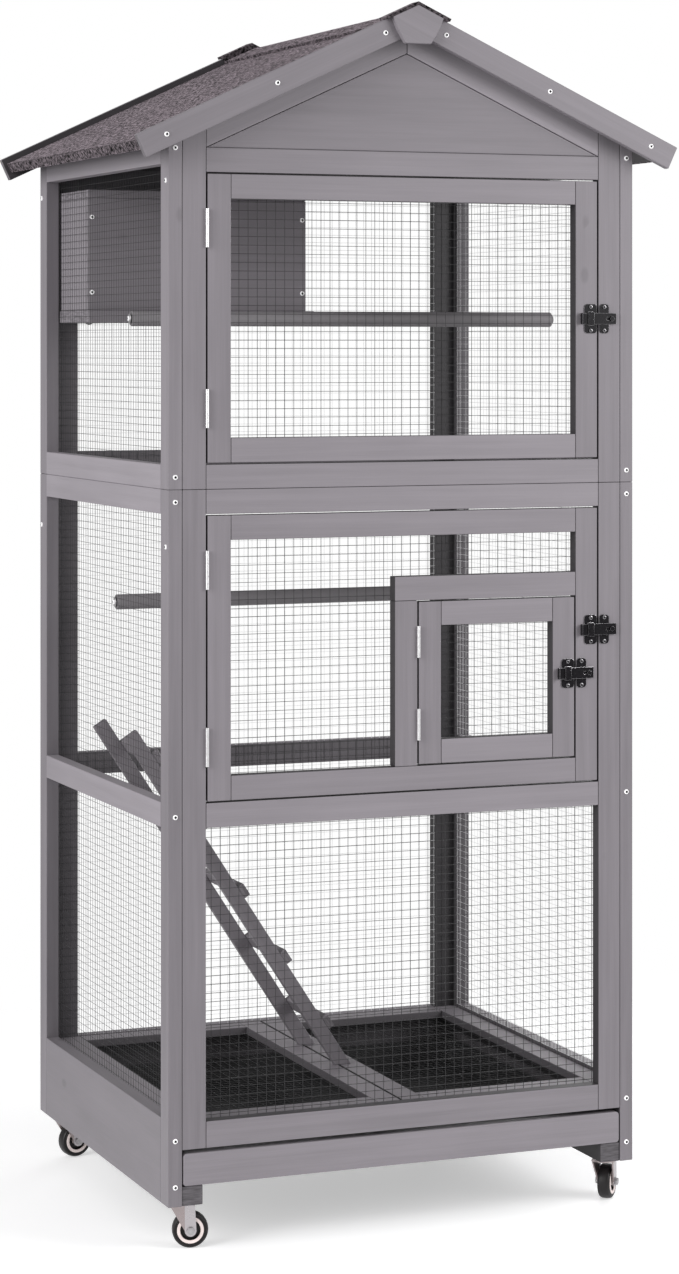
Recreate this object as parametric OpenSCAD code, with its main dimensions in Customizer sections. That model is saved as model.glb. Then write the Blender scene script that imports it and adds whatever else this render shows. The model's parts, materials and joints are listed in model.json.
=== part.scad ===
// Flight bird cage: timber aviary in two stacked sections with a felted gable roof, wire mesh walls,
// hinged doors, pull-out tray and swivel casters. Front is -Y, the floor is Z = 0.

/* [Carcass] */
// Width over the side panels
cage_w = 700; // [620:5:860]
// Depth over the posts
cage_d = 640; // [560:5:760]
// Height of the lower section, from post feet to the seam
lower_h = 977; // [930:1:1080]
// Height of the upper section at its outer corners
upper_h = 480; // [450:5:560]
// Thickness of the framing timber
board_t = 20; // [17:1:24]
// Face width of posts, rails and stiles
rail_w = 34; // [28:1:40]
// Height of the skirt boards round the base
skirt_h = 117; // [112:1:150]
// Face width of the bottom rail of the lower front
sill_rail_w = 36.5; // [30:0.5:44]
// Side top rails above the undersides of the head rails
side_top_rise = 11.5; // [6:0.5:16]
// Open line where two timbers butt together
joint_gap = 0.2; // [0.1:0.05:0.4]

/* [Roof] */
// Slope of the roof in degrees
roof_pitch = 25; // [18:1:32]
// Thickness of the roof boards
roof_t = 12; // [9:1:20]
// Thickness of the mineral felt
felt_t = 3; // [2:0.5:5]
// Roof past the front and back walls, to the outside of the barge boards
roof_over = 34; // [28:1:70]
// Roof past the side walls, along the slope
eave_over = 41; // [30:1:80]
// Thickness of the barge boards
barge_t = 12; // [9:1:18]
// Barge board edge above the felt
barge_proud = 9; // [5:1:12]
// Barge board end past the felt
barge_end = 6; // [2:1:15]
// Thickness of the apex plates
apex_t = 10; // [6:1:14]
// Half width of an apex plate at its shoulders
apex_w = 38; // [30:1:50]
// Height of an apex plate
apex_h = 54; // [45:1:70]
// Half width of the apex plates where they start to taper
apex_waist = 30; // [22:1:40]
// That taper below the top of the plates
apex_waist_drop = 36; // [28:1:42]
// Half width of the foot of the apex plates
apex_foot = 19; // [12:1:22]
// Length of each ridge cap flap
ridge_flap = 41; // [30:1:90]
// Thickness of the ridge cap
ridge_t = 4; // [2:0.5:6]
// Gable boards behind the face of the frame
gable_inset = 1.5; // [0.5:0.5:4]
// Thickness of the gable boards
gable_t = 12; // [8:1:16]
// Sharp corners cut off the gable boards
gable_trim = 2; // [1:0.5:4]

/* [Wire mesh] */
// Thickness of a wire
wire_d = 0.8; // [0.7:0.1:1.4]
// Spacing of the upright wires, front, back and floor
wire_pitch_x = 13.4; // [10:0.1:20]
// Spacing of the level wires, front and back
wire_pitch_z = 11.9; // [9:0.1:20]
// Spacing of the upright wires on the sides
side_pitch_y = 11.9; // [10:0.1:20]
// Spacing of the level wires on the sides
side_pitch_z = 10.3; // [9:0.1:20]
// Width of the closed selvage at the ends of the wires
selvage = 3; // [2:0.5:5]
// Mesh lapped behind the timber
mesh_lap = 13; // [10:0.5:14]
// Space between the two layers of wire
wire_gap = 0.1; // [0.05:0.05:0.2]
// Mesh kept clear of the next wall
mesh_clear = 0.5; // [0.3:0.1:1]

/* [Doors] */
// Gap round each door
door_gap = 2; // [1.8:0.1:3]
// Height of the lower doorway, from the middle rail to the top rail
doorway_h = 395; // [360:1:440]
// Width of the small doorway in the lower door
pass_w = 244; // [200:1:300]
// Height of the small doorway
pass_h = 232; // [180:1:260]

/* [Hinges] */
// Length of the large hinges
hinge_len = 53; // [40:1:70]
// Length of the small door's hinges
small_hinge_len = 44; // [30:1:55]
// Outside diameter of the knuckles
barrel_d = 4.6; // [4.4:0.1:8]
// Diameter of the hinge pins
hinge_pin_d = 2.4; // [2:0.1:2.8]
// Thickness of a leaf
leaf_t = 0.8; // [0.6:0.05:0.85]
// Width of a leaf in the gap
leaf_w = 16; // [10:0.5:16]
// Large hinges from the ends of their doors
hinge_inset = 48; // [30:1:80]
// Small hinges from the ends of the small door
small_hinge_inset = 34; // [20:1:50]
// Running clearance of pins, per side
run_fit = 0.05; // [0.02:0.01:0.1]
// Clearance beside moving faces
slide_gap = 0.3; // [0.2:0.05:0.5]

/* [Latches] */
// Plates kept clear of the gap
latch_margin = 1; // [0.5:0.5:2]
// Thickness of the latch plates and straps
latch_t = 1.2; // [0.8:0.1:1.6]
// Height of the latch plates
latch_h = 42; // [36:1:46]
// Width of the door plate
latch_plate_w = 20; // [18:1:24]
// Width of the keeper plate's foot
keeper_w = 15; // [12:1:16]
// Width of the sliding strap
strap_w = 16; // [12:0.5:17]
// Strap to the left of the gap
strap_left = 28; // [26:1:31]
// Strap to the right of the gap
strap_right = 28; // [27:1:30]
// Keeper stud to the right of the gap
stud_x = 21; // [20:0.5:22]
// Diameter of the stud's neck
stud_d = 3.6; // [3:0.2:4.4]
// Diameter of the stud's head
stud_head_d = 6.4; // [5.6:0.2:7]
// Height of the stud's head
stud_head_t = 1.6; // [1:0.1:2.4]
// Latch screws from the ends of the plates
latch_screw_edge = 4; // [3.5:0.5:5]
// Travel of the strap
latch_travel = 7; // [6:0.5:8]
// Height of the finger tab
tab_h = 8; // [5:0.5:12]
// Length of the guide along the strap
guide_len = 9; // [6:0.5:10]
// Thickness of the guide
guide_t = 1.4; // [1:0.1:2]
// Latches above the middle of each door
latch_rise = [1, 21, 5]; // [-30:1:40]

/* [Base] */
// Height of the casters
caster_h = 66; // [65:1:80]
// Height of the tray bearers
bearer_h = 27; // [20:1:34]
// Width of the tray bearers
bearer_w = 30; // [28:1:40]
// Bearer ends behind the faces of the posts
bearer_inset = 2; // [0:0.5:6]
// Height of the tray's wooden front
tray_front_h = 44; // [40:1:50]
// Corner radius of the tray's wooden front
tray_corner_r = 5; // [2:1:14]
// Gap over the tray front
tray_gap = 5.5; // [4:0.5:10]
// Gap at each end of the tray front
tray_end_gap = 1.5; // [1:0.5:6]
// Height of the tray's walls
tray_wall_h = 35; // [28:1:36]
// Thickness of the tray
tray_t = 1.5; // [1:0.1:2.5]
// Gap between the tray and the side boards
tray_side_gap = 6; // [3:0.5:10]
// Tray kept short of the back board
tray_back_gap = 8; // [4:1:20]
// Floor frames below the top of the front rail
floor_drop = 0.5; // [0:0.5:6]
// Thickness of the floor frames
floor_t = 12; // [10:1:20]
// Gap between the two floor frames
floor_seam = 2; // [1:0.5:6]
// Thickness and height of the cleats under the floor
cleat_w = 18; // [12:1:22]

/* [Casters] */
// Diameter of a wheel
wheel_d = 50; // [44:1:50]
// Width of the tyre
tyre_w = 18; // [14:1:20]
// Rounding of the tyre's shoulders
tyre_round = 4.5; // [2:0.5:6]
// Diameter of the wheel's hub
hub_d = 33; // [26:1:38]
// Diameter of the hub's boss
hub_boss_d = 16.5; // [12:0.5:22]
// Width of the hub
hub_w = 20; // [18:1:22]
// Diameter of the axle bolt
axle_d = 6; // [5:0.5:8]
// Width of the axle nuts over their corners
nut_d = 11; // [9:0.5:13]
// Height of the axle nuts
nut_h = 3.6; // [2:0.2:5]
// Width of the fork's legs round the axle
fork_boss = 16; // [12:1:20]
// Diameter of the fork's crown
crown_d = 30; // [26:1:34]
// Fork legs behind the king pin, at the crown
fork_back = 10; // [6:1:12]
// Fork legs in front of the king pin, at the crown
fork_front = 24; // [14:1:26]
// Axle behind the swivel
caster_trail = 18; // [12:1:22]
// Length of a caster plate along Y
plate_len = 50; // [44:1:60]
// Width of a caster plate along X
plate_w = 38; // [34:1:40]
// Spacing of the plate's screws across
plate_screw_w = 22; // [20:1:24]
// Spacing of the plate's screws along
plate_screw_len = 40; // [36:1:50]
// Thickness of the caster sheet metal
plate_t = 2; // [1.5:0.1:2.5]
// Diameter of the swivel race
race_d = 29; // [24:1:30]
// Height of the swivel race
race_h = 3.7; // [3:0.1:5]
// Diameter of the king pin
king_d = 6; // [5:0.5:8]
// Diameter of the king pin's head
king_head_d = 10; // [9:0.5:13]
// Swivel from the outsides of the posts
caster_side = 26; // [22:1:36]
// Swivel from the front and back of the posts
caster_inset = 42; // [34:1:60]
// Direction in which each wheel trails: front left, front right, back left, back right
caster_turn = [-14, 50, 12, 60]; // [-180:1:180]

/* [Nest box] */
// Width of the box
nest_w = 345; // [260:1:400]
// Depth of the box
nest_d = 155; // [110:1:180]
// Height of the box
nest_h = 180; // [140:1:200]
// Thickness of its boards
nest_t = 12; // [9:1:15]
// Thickness of the shelf under it
shelf_t = 18; // [12:1:22]
// Shelf past the front and right of the box
shelf_lip = 10; // [4:1:20]
// Top of the box below the head rail
nest_drop = 5; // [2:1:20]
// Left edge of the shelf to the mesh
shelf_clear = 0.3; // [0.2:0.1:0.8]
// Box from the left edge of the shelf
nest_inset = 2; // [1:1:15]
// Diameter of the entrance hole
nest_hole_d = 50; // [40:1:70]
// Entrance hole above the middle of the box
nest_hole_rise = 15; // [0:1:30]
// Lower and upper screws in the front of the box, above the shelf
nest_screw_z = [27, 139]; // [10:1:160]
// Screws into the back of the shelf, from each end of the box
shelf_screw_x = 48; // [30:1:90]
// Screws into the back of the shelf, below its top
shelf_screw_drop = 14; // [4:1:14]

/* [Perches and ladder] */
// Diameter of the perches
perch_d = 22; // [14:1:26]
// Upper perch above the seam
upper_perch_z = 235; // [120:1:280]
// Upper perch in front of the middle
upper_perch_y = 79; // [20:1:180]
// Lower perch below the seam
lower_perch_z = 175; // [80:1:260]
// Lower perch in front of the middle
lower_perch_y = 7; // [-60:1:120]
// Slope of the ladder in degrees
ladder_angle = 57; // [50:1:62]
// Left edge of the ladder's foot, left of the middle
ladder_foot = 6; // [0:1:8]
// Width of the ladder
ladder_w = 165; // [110:1:200]
// Middle of the ladder behind the middle of the cage
ladder_y = 32; // [-20:1:60]
// Depth of a stringer
stringer_w = 21; // [16:1:26]
// Thickness of a stringer
stringer_t = 12; // [9:1:16]
// Width of a rung
rung_w = 20; // [14:1:26]
// Thickness of a rung
rung_t = 10; // [7:1:14]
// First rung above the foot, along the slope
rung_first = 60; // [40:1:90]
// Spacing of the rungs
rung_pitch = 120; // [80:1:150]

/* [Screws] */
// Diameter of the screw heads
screw_head_d = 7; // [5:0.5:9]
// Height of the screw heads
screw_head_h = 2; // [1.4:0.1:3]
// Diameter of the screw shanks
screw_d = 3.5; // [2.5:0.1:4]
// Screw length past the piece that it holds
screw_bite = 25; // [15:1:40]
// Top screws in the posts, below the outer corners of the walls
top_screw_drop = 14; // [8:1:24]
// Screws in the skirt boards, above the post feet
skirt_screw_z = [27, 90]; // [10:1:110]
// Side screws below the head rail and below the seam
stile_screw_drop = [12, 78]; // [8:1:120]
// Screws along each barge board, as parts of the roof slope
barge_screw_at = [0.11, 0.52, 0.93]; // [0.05:0.01:0.96]
// Diameter of the washers
washer_d = 14; // [10:0.5:18]
// Thickness of the washers
washer_t = 1.2; // [0.8:0.1:2]
// Small screws in the latches and casters, head diameter
small_head_d = 5; // [4:0.5:6]
// Small screws, length
small_screw_len = 12; // [8:1:16]

/* [Hidden] */

$fn = 48;
// Cuts run this far past the faces
past = 1;
wood = [0.55, 0.53, 0.55];
dowel = [0.30, 0.28, 0.30];
cream = [0.90, 0.86, 0.78];
felt = [0.44, 0.39, 0.40];
zinc = [0.75, 0.75, 0.77];
black = [0.08, 0.08, 0.09];
mesh_grey = [0.22, 0.22, 0.23];

// Levels
base_z = caster_h;
seam_z = base_z + lower_h;
wall_z = seam_z + upper_h;
bearer_top = base_z + bearer_h;
tray_front_z = bearer_top + slide_gap;
front_z = tray_front_z + tray_front_h + tray_gap;
front_sill = front_z + sill_rail_w;
lower_head = seam_z - rail_w;
mid_top = lower_head - doorway_h;
mid_z = mid_top - rail_w;
skirt_top = base_z + skirt_h;
floor_top = front_sill - floor_drop;

// Half sizes
hw = cage_w / 2;
hd = cage_d / 2;
in_x = hw - board_t;
in_y = hd - board_t;
frame_x = in_x - joint_gap;
open_x = frame_x - rail_w;
mesh_t = 2 * wire_d + wire_gap;
mesh_x = in_x - mesh_t;
mesh_y = in_y - mesh_t;
post_y = hd - rail_w;
floor_x = [floor_seam / 2, mesh_x - mesh_clear];

// Roof slope: u runs down the slope from the ridge, v stands off the underside of the roof boards
tan_p = tan(roof_pitch);
cos_p = cos(roof_pitch);
sin_p = sin(roof_pitch);
ridge_z = wall_z + hw * tan_p + joint_gap / cos_p;
roof_u = hw / cos_p + eave_over;
felt_v = roof_t + felt_t;
barge_v = felt_v + barge_proud;
barge_y = hd + roof_over;
roof_y = barge_y - barge_t;
function roof_at(x) = wall_z + (hw - abs(x)) * tan_p;
function slope(u, v) = [u * cos_p + v * sin_p, ridge_z - u * sin_p + v * cos_p];
function mitre(v) = joint_gap / 2 / cos_p - v * tan_p;

// Door openings
head_top = roof_at(open_x) - rail_w / cos_p;
head_z = head_top - rail_w;
upper_sill = seam_z + rail_w;
side_top_z = head_z + side_top_rise;
door_x = open_x - door_gap;
upper_door_z = [upper_sill + door_gap, head_z - door_gap];
lower_door_z = [mid_top + door_gap, lower_head - door_gap];
pass_x = [door_x - rail_w - pass_w, door_x - rail_w];
pass_z = [lower_door_z[0] + rail_w, lower_door_z[0] + rail_w + pass_h];
small_door_x = [pass_x[0] + door_gap, pass_x[1] - door_gap];
small_door_z = [pass_z[0] + door_gap, pass_z[1] - door_gap];

// Hinge axes stand in front of the doors, in the middle of the gap
hinge_y = -hd - barrel_d / 2 - slide_gap;
leaf_face = door_gap / 2;
hinge_x = -open_x + leaf_face;
small_hinge_x = pass_x[0] + leaf_face;
function hinge_spots(z, inset, len) = [z[0] + inset + len / 2, z[1] - inset - len / 2];
upper_hinge_z = hinge_spots(upper_door_z, hinge_inset, hinge_len);
lower_hinge_z = hinge_spots(lower_door_z, hinge_inset, hinge_len);
small_hinge_z = hinge_spots(small_door_z, small_hinge_inset, small_hinge_len);

// Latches sit on the gap at the free edge of each door
function middle(z) = (z[0] + z[1]) / 2;
latch_x = door_x + door_gap / 2;
small_latch_x = small_door_x[1] + door_gap / 2;
latch_z = [middle(upper_door_z) + latch_rise[0], middle(lower_door_z) + latch_rise[1],
    middle(small_door_z) + latch_rise[2]];
latch_edge = door_gap / 2 + latch_margin;
strap_y = [latch_t + slide_gap, 2 * latch_t + slide_gap];
stud_top = strap_y[1] + slide_gap;
screw_row = latch_h / 2 - latch_screw_edge;

// Casters
swivel = [hw - caster_side, hd - caster_inset];
plate_z = base_z - plate_t;
race_z = plate_z - race_h;
crown_z = race_z - slide_gap - plate_t;
fork_gap = hub_w / 2 + 2 * slide_gap;
caster_sides = [[-1, -1], [1, -1], [-1, 1], [1, 1]];
caster_screw_spots = [for (x = [-1, 1], y = [-1, 1]) [x * plate_screw_w / 2, y * plate_screw_len / 2]];

// Nest box, in the back left corner under the head rail
shelf_x = -mesh_x + shelf_clear;
nest_x = [shelf_x + nest_inset, shelf_x + nest_inset + nest_w];
nest_y = [mesh_y - nest_d, mesh_y];
nest_z = [head_z - nest_drop - nest_h, head_z - nest_drop];
nest_in_x = [nest_x[0] + nest_t + joint_gap, nest_x[1] - nest_t - joint_gap];

// Perches, as places in Y and Z
perch_at = [[-upper_perch_y, seam_z + upper_perch_z], [-lower_perch_y, seam_z - lower_perch_z]];

// Ladder: s runs up the slope from the left edge of the foot, t stands off its lower face
ladder_len = (mesh_x - slide_gap - ladder_foot) / cos(ladder_angle);
function rise(s, t) = [-ladder_foot - s * cos(ladder_angle) + t * sin(ladder_angle),
    floor_top + s * sin(ladder_angle) + t * cos(ladder_angle)];

// Building blocks
module timber(low, high) {
    translate(low) cube(high - low);
}

module both_sides() {
    children();
    mirror([1, 0, 0]) children();
}

module both_ends() {
    children();
    mirror([0, 1, 0]) children();
}

module along_y(y0, y1) {
    translate([0, y1, 0]) rotate([90, 0, 0]) linear_extrude(y1 - y0) children();
}

// A strip of roof between two heights over the roof boards, from the ridge down to u
module roof_strip(v0, v1, u) {
    polygon([slope(mitre(v0), v0), slope(u, v0), slope(u, v1), slope(mitre(v1), v1)]);
}

// One layer of wires: a sheet with a slot between each pair of wires
module wire_layer(w, h, pitch) {
    count = floor(w / pitch);
    half_w = (count * pitch + wire_d) / 2;
    half_h = h / 2;
    slot_h = half_h - selvage;
    rim = [[-half_w, -half_h], [half_w, -half_h], [half_w, half_h], [-half_w, half_h]];
    slots = [for (i = [0 : count - 1])
        let (x0 = -half_w + wire_d + i * pitch, x1 = x0 + pitch - wire_d)
        each [[x0, -slot_h], [x1, -slot_h], [x1, slot_h], [x0, slot_h]]];
    linear_extrude(wire_d)
        polygon(concat(rim, slots), [for (i = [0 : count]) [for (k = [0 : 3]) 4 * i + k]]);
}

// A mesh sheet centred on the origin: upright wires below, level wires above
module mesh_sheet(w, h, pitch_w, pitch_h) {
    wire_layer(w, h, pitch_w);
    translate([0, 0, wire_d + wire_gap]) rotate([0, 0, 90]) wire_layer(h, w, pitch_h);
}

// A sheet standing in a wall that faces the front or back; y is its back face
module wall_sheet(x, z, y, lap) {
    translate([middle(x), y, middle(z)]) rotate([90, 0, 0])
        mesh_sheet(x[1] - x[0] + 2 * lap, z[1] - z[0] + 2 * lap, wire_pitch_x, wire_pitch_z);
}

module side_sheet(z0, z1) {
    translate([-in_x, 0, (z0 + z1) / 2]) rotate([90, 0, 90])
        mesh_sheet(2 * (in_y - mesh_clear), z1 - z0, side_pitch_y, side_pitch_z);
}

// A pan head screw that points along +Z, with its head below the origin
module screw(len, head_d = screw_head_d) {
    translate([0, 0, -screw_head_h]) cylinder(d = head_d, h = screw_head_h);
    cylinder(d = screw_d, h = len);
}

module screw_y(at, len) {
    translate(at) rotate([-90, 0, 0]) screw(len);
}

// A screw with a washer against the outside of a mesh sheet
module washer_screw(at, turn) {
    translate(at) rotate(turn) {
        translate([0, 0, -washer_t - joint_gap]) screw(washer_t + joint_gap + mesh_t + screw_bite);
        translate([0, 0, -washer_t]) difference() {
            cylinder(d = washer_d, h = washer_t);
            translate([0, 0, -past]) cylinder(d = screw_d + 2 * run_fit, h = washer_t + 2 * past);
        }
    }
}

// Carcass
module lower_side() {
    both_ends() timber([-hw, -hd, base_z], [-in_x, -post_y, seam_z - joint_gap]);
    run = post_y - joint_gap;
    timber([-hw, -run, lower_head], [-in_x, run, seam_z - joint_gap]);
    timber([-hw, -run, mid_z], [-in_x, run, mid_top]);
    timber([-hw, -run, base_z], [-in_x, run, skirt_top]);
}

module upper_side() {
    run = post_y - joint_gap;
    both_ends() along_y(-hd, -post_y)
        polygon([[-hw, seam_z], [-in_x, seam_z], [-in_x, roof_at(in_x)], [-hw, wall_z]]);
    timber([-hw, -run, seam_z], [-in_x, run, upper_sill - joint_gap]);
    along_y(-run, run)
        polygon([[-hw, side_top_z], [-in_x, side_top_z], [-in_x, roof_at(in_x)], [-hw, wall_z]]);
}

module cross_rail(z0, z1) {
    run = open_x - joint_gap;
    timber([-run, -hd, z0], [run, -in_y, z1]);
}

module lower_front() {
    both_sides() timber([-frame_x, -hd, front_z], [-open_x, -in_y, seam_z - joint_gap]);
    cross_rail(lower_head, seam_z - joint_gap);
    cross_rail(mid_z, mid_top);
    cross_rail(front_z, front_sill);
}

module lower_back() {
    mirror([0, 1, 0]) {
        both_sides() timber([-frame_x, -hd, bearer_top], [-open_x, -in_y, seam_z - joint_gap]);
        cross_rail(lower_head, seam_z - joint_gap);
        cross_rail(mid_z, mid_top);
        cross_rail(bearer_top, front_sill);
    }
}

module upper_front() {
    both_sides() along_y(-hd, -in_y)
        polygon([[-frame_x, seam_z], [-open_x, seam_z], [-open_x, roof_at(open_x)],
            [-frame_x, roof_at(frame_x)]]);
    cross_rail(seam_z, upper_sill - joint_gap);
    cross_rail(head_z, head_top - joint_gap);
}

module lower_left_panel() { color(wood) lower_side(); }
module lower_right_panel() { color(wood) mirror([1, 0, 0]) lower_side(); }
module upper_left_panel() { color(wood) upper_side(); }
module upper_right_panel() { color(wood) mirror([1, 0, 0]) upper_side(); }
module lower_front_frame() { color(wood) lower_front(); }
module lower_back_panel() { color(wood) lower_back(); }
module upper_front_frame() { color(wood) upper_front(); }
module upper_back_panel() { color(wood) mirror([0, 1, 0]) upper_front(); }

// Rafters follow the roof, and the gable boards fill the triangle under them
module gables() {
    run = open_x - joint_gap;
    drop = rail_w / cos_p;
    tip = head_top + run * tan_p;
    color(wood) both_ends() {
        both_sides() along_y(-hd, -in_y)
            polygon([[joint_gap / 2, roof_at(0) - drop], [run, roof_at(run) - drop], [run, roof_at(run)],
                [joint_gap / 2, roof_at(joint_gap / 2)]]);
        along_y(-hd + gable_inset, -hd + gable_inset + gable_t)
            polygon([[-run + gable_trim, head_top], [run - gable_trim, head_top],
                [0, tip - gable_trim * tan_p]]);
    }
}

module roof_panels() {
    color(wood) both_sides() along_y(-roof_y, roof_y) roof_strip(0, roof_t, roof_u);
}

// The felt laps down over the eave
module roof_felt() {
    color(felt) both_sides() along_y(-roof_y, roof_y) {
        polygon([slope(mitre(roof_t), roof_t), slope(roof_u, roof_t), slope(roof_u, 0),
            slope(roof_u + felt_t, 0), slope(roof_u + felt_t, felt_v), slope(mitre(felt_v), felt_v)]);
    }
}

// A bent strip of felt that lies over the ridge between two heights over the roof boards
module cap_strip(v0, v1, y0, y1) {
    low = slope(ridge_flap, v0);
    high = slope(ridge_flap, v1);
    along_y(y0, y1) polygon([slope(-v0 * tan_p, v0), low, high,
        slope(-v1 * tan_p, v1), [-high[0], high[1]], [-low[0], low[1]]]);
}

// The ridge cap lies on the felt and steps up over the barge boards and apex plates
module ridge_cap() {
    bed = felt_v + joint_gap;
    top = barge_v + joint_gap;
    color(felt) {
        cap_strip(bed, bed + ridge_t, -roof_y, roof_y);
        both_ends() {
            cap_strip(bed, top + ridge_t, roof_y - ridge_t, roof_y);
            cap_strip(top, top + ridge_t, roof_y - ridge_t, barge_y + apex_t);
        }
    }
}

module barge_boards() {
    color(wood) both_ends() both_sides() along_y(-barge_y, -roof_y)
        roof_strip(barge_v - rail_w, barge_v, roof_u + felt_t + barge_end);
}

module apex_plates() {
    top = ridge_z + barge_v / cos_p;
    color(wood) both_ends() along_y(-barge_y - apex_t, -barge_y)
        polygon([[0, top], [apex_w, top - apex_w * tan_p], [apex_waist, top - apex_waist_drop],
            [apex_foot, top - apex_h], [-apex_foot, top - apex_h], [-apex_waist, top - apex_waist_drop],
            [-apex_w, top - apex_w * tan_p]]);
}

// Mesh stapled to the inside of each panel
module side_meshes() {
    color(mesh_grey) both_sides() {
        side_sheet(skirt_top - mesh_lap, lower_head + mesh_lap);
        side_sheet(upper_sill - mesh_lap, side_top_z + mesh_lap);
    }
}

module back_meshes() {
    x = [-mesh_x + mesh_clear + mesh_lap, mesh_x - mesh_clear - mesh_lap];
    color(mesh_grey) {
        wall_sheet(x, [front_sill, lower_head], in_y, mesh_lap);
        wall_sheet(x, [upper_sill, head_z], in_y, mesh_lap);
    }
}

module lower_front_mesh() {
    color(mesh_grey) wall_sheet([-open_x, open_x], [front_sill, mid_z], -mesh_y, mesh_lap);
}

// Two lift-out floor frames side by side, with mesh under them
module floor_half(x0, x1) {
    run = mesh_y - mesh_clear;
    low = floor_top - floor_t;
    for (x = [[x0, x0 + rail_w], [x1 - rail_w, x1]])
        timber([x[0], -run, low], [x[1], run, floor_top]);
    both_ends() timber([x0 + rail_w + joint_gap, -run, low],
        [x1 - rail_w - joint_gap, -run + rail_w, floor_top]);
}

module floor_frames() {
    color(wood) both_sides() floor_half(floor_x[0], floor_x[1]);
}

module floor_meshes() {
    x0 = floor_x[0] + rail_w - mesh_lap;
    x1 = floor_x[1] - rail_w + mesh_lap;
    color(mesh_grey) both_sides() translate([(x0 + x1) / 2, 0, floor_top - floor_t]) mirror([0, 0, 1])
        mesh_sheet(x1 - x0, 2 * (mesh_y - rail_w + mesh_lap), wire_pitch_x, wire_pitch_z);
}

// Tray bearers between the skirts, and cleats that carry the floor frames at their outer edges
module base_bearers() {
    cleat_top = floor_top - floor_t;
    color(wood) both_sides() {
        timber([frame_x - bearer_w, -hd + bearer_inset, base_z],
            [frame_x, hd - bearer_inset, bearer_top - joint_gap]);
        timber([frame_x - cleat_w, -mesh_y + mesh_clear, cleat_top - cleat_w],
            [frame_x, mesh_y - mesh_clear, cleat_top]);
    }
}

// Nest box
module nest_box_walls() {
    z1 = nest_z[1] - nest_t - joint_gap;
    color(wood) {
        timber([nest_x[0], nest_y[0] + nest_t + joint_gap, nest_z[0]], [nest_x[0] + nest_t, nest_y[1], z1]);
        timber([nest_x[1] - nest_t, nest_y[0] + nest_t + joint_gap, nest_z[0]], [nest_x[1], nest_y[1], z1]);
        timber([nest_in_x[0], nest_y[1] - nest_t, nest_z[0]], [nest_in_x[1], nest_y[1], z1]);
    }
}

module nest_box_front() {
    color(wood) difference() {
        timber([nest_x[0], nest_y[0], nest_z[0]],
            [nest_x[1], nest_y[0] + nest_t, nest_z[1] - nest_t - joint_gap]);
        translate([middle(nest_x), nest_y[0] - past, middle(nest_z) + nest_hole_rise]) rotate([-90, 0, 0])
            cylinder(d = nest_hole_d, h = nest_t + 2 * past);
    }
}

module nest_box_shelf() {
    color(wood) timber([shelf_x, nest_y[0] - shelf_lip, nest_z[0] - shelf_t],
        [nest_x[1] + shelf_lip, nest_y[1], nest_z[0]]);
}

module nest_box_lid() {
    color(wood) timber([nest_x[0], nest_y[0], nest_z[1] - nest_t], [nest_x[1], nest_y[1], nest_z[1]]);
}

// Perches run from mesh to mesh
module perches() {
    color(dowel) for (at = perch_at)
        translate([-mesh_x, at[0], at[1]]) rotate([0, 90, 0]) cylinder(d = perch_d, h = 2 * mesh_x);
}

module ladder_stringers() {
    color(wood) for (y = [-ladder_w / 2, ladder_w / 2 - stringer_t])
        along_y(ladder_y + y, ladder_y + y + stringer_t)
            polygon([rise(0, 0), rise(-stringer_w / tan(ladder_angle), stringer_w),
                rise(ladder_len, stringer_w), rise(ladder_len, 0)]);
}

module ladder_rungs() {
    color(wood) along_y(ladder_y - ladder_w / 2, ladder_y + ladder_w / 2)
        for (s = [rung_first : rung_pitch : ladder_len - rung_w])
            polygon([rise(s - rung_w / 2, stringer_w), rise(s + rung_w / 2, stringer_w),
                rise(s + rung_w / 2, stringer_w + rung_t), rise(s - rung_w / 2, stringer_w + rung_t)]);
}

// Screws through the posts into the rails, through the sides into the stiles, and through the barge boards
module frame_screws() {
    skirt_levels = [for (z = skirt_screw_z) base_z + z];
    rail_levels = concat(skirt_levels, [mid_z + rail_w / 2, seam_z - rail_w / 2, seam_z + rail_w / 2,
        wall_z - top_screw_drop]);
    color(zinc) both_ends() both_sides() {
        for (z = rail_levels) screw_y([hw - board_t / 2, -hd, z], rail_w + screw_bite);
        for (z = [head_z - stile_screw_drop[0], seam_z - stile_screw_drop[1]])
            translate([hw, -hd + board_t / 2, z]) rotate([0, -90, 0]) screw(board_t + screw_bite);
        for (part = barge_screw_at) {
            spot = slope(part * roof_u, barge_v - rail_w / 2);
            screw_y([spot[0], -barge_y, spot[1]], barge_t + screw_bite);
        }
    }
}

// Screws with washers hold the perches and the nest box through the mesh; four more close the nest box
module inner_fixings() {
    color(zinc) {
        both_sides() for (at = perch_at) washer_screw([-in_x, at[0], at[1]], [0, 90, 0]);
        for (x = [nest_x[0] + shelf_screw_x, nest_x[1] - shelf_screw_x])
            washer_screw([x, in_y, nest_z[0] - shelf_screw_drop], [90, 0, 0]);
        for (x = [nest_x[0] + nest_t / 2, nest_x[1] - nest_t / 2], z = nest_screw_z)
            screw_y([x, nest_y[0], nest_z[0] + z], nest_t + screw_bite);
    }
}

// Butt hinges: the outer knuckles turn with the frame, the middle one with the door
module leaf_half(len, spans, bore_d) {
    difference() {
        union() {
            translate([-leaf_face, barrel_d / 2 + 2 * slide_gap, -len / 2]) cube([leaf_t, leaf_w, len]);
            for (span = spans) {
                translate([0, 0, span[0]]) cylinder(d = barrel_d, h = span[1] - span[0]);
                translate([-leaf_face, 0, span[0]])
                    cube([leaf_t, barrel_d / 2 + 3 * slide_gap, span[1] - span[0]]);
            }
        }
        translate([0, 0, -len]) cylinder(d = bore_d, h = 2 * len);
    }
}

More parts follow.
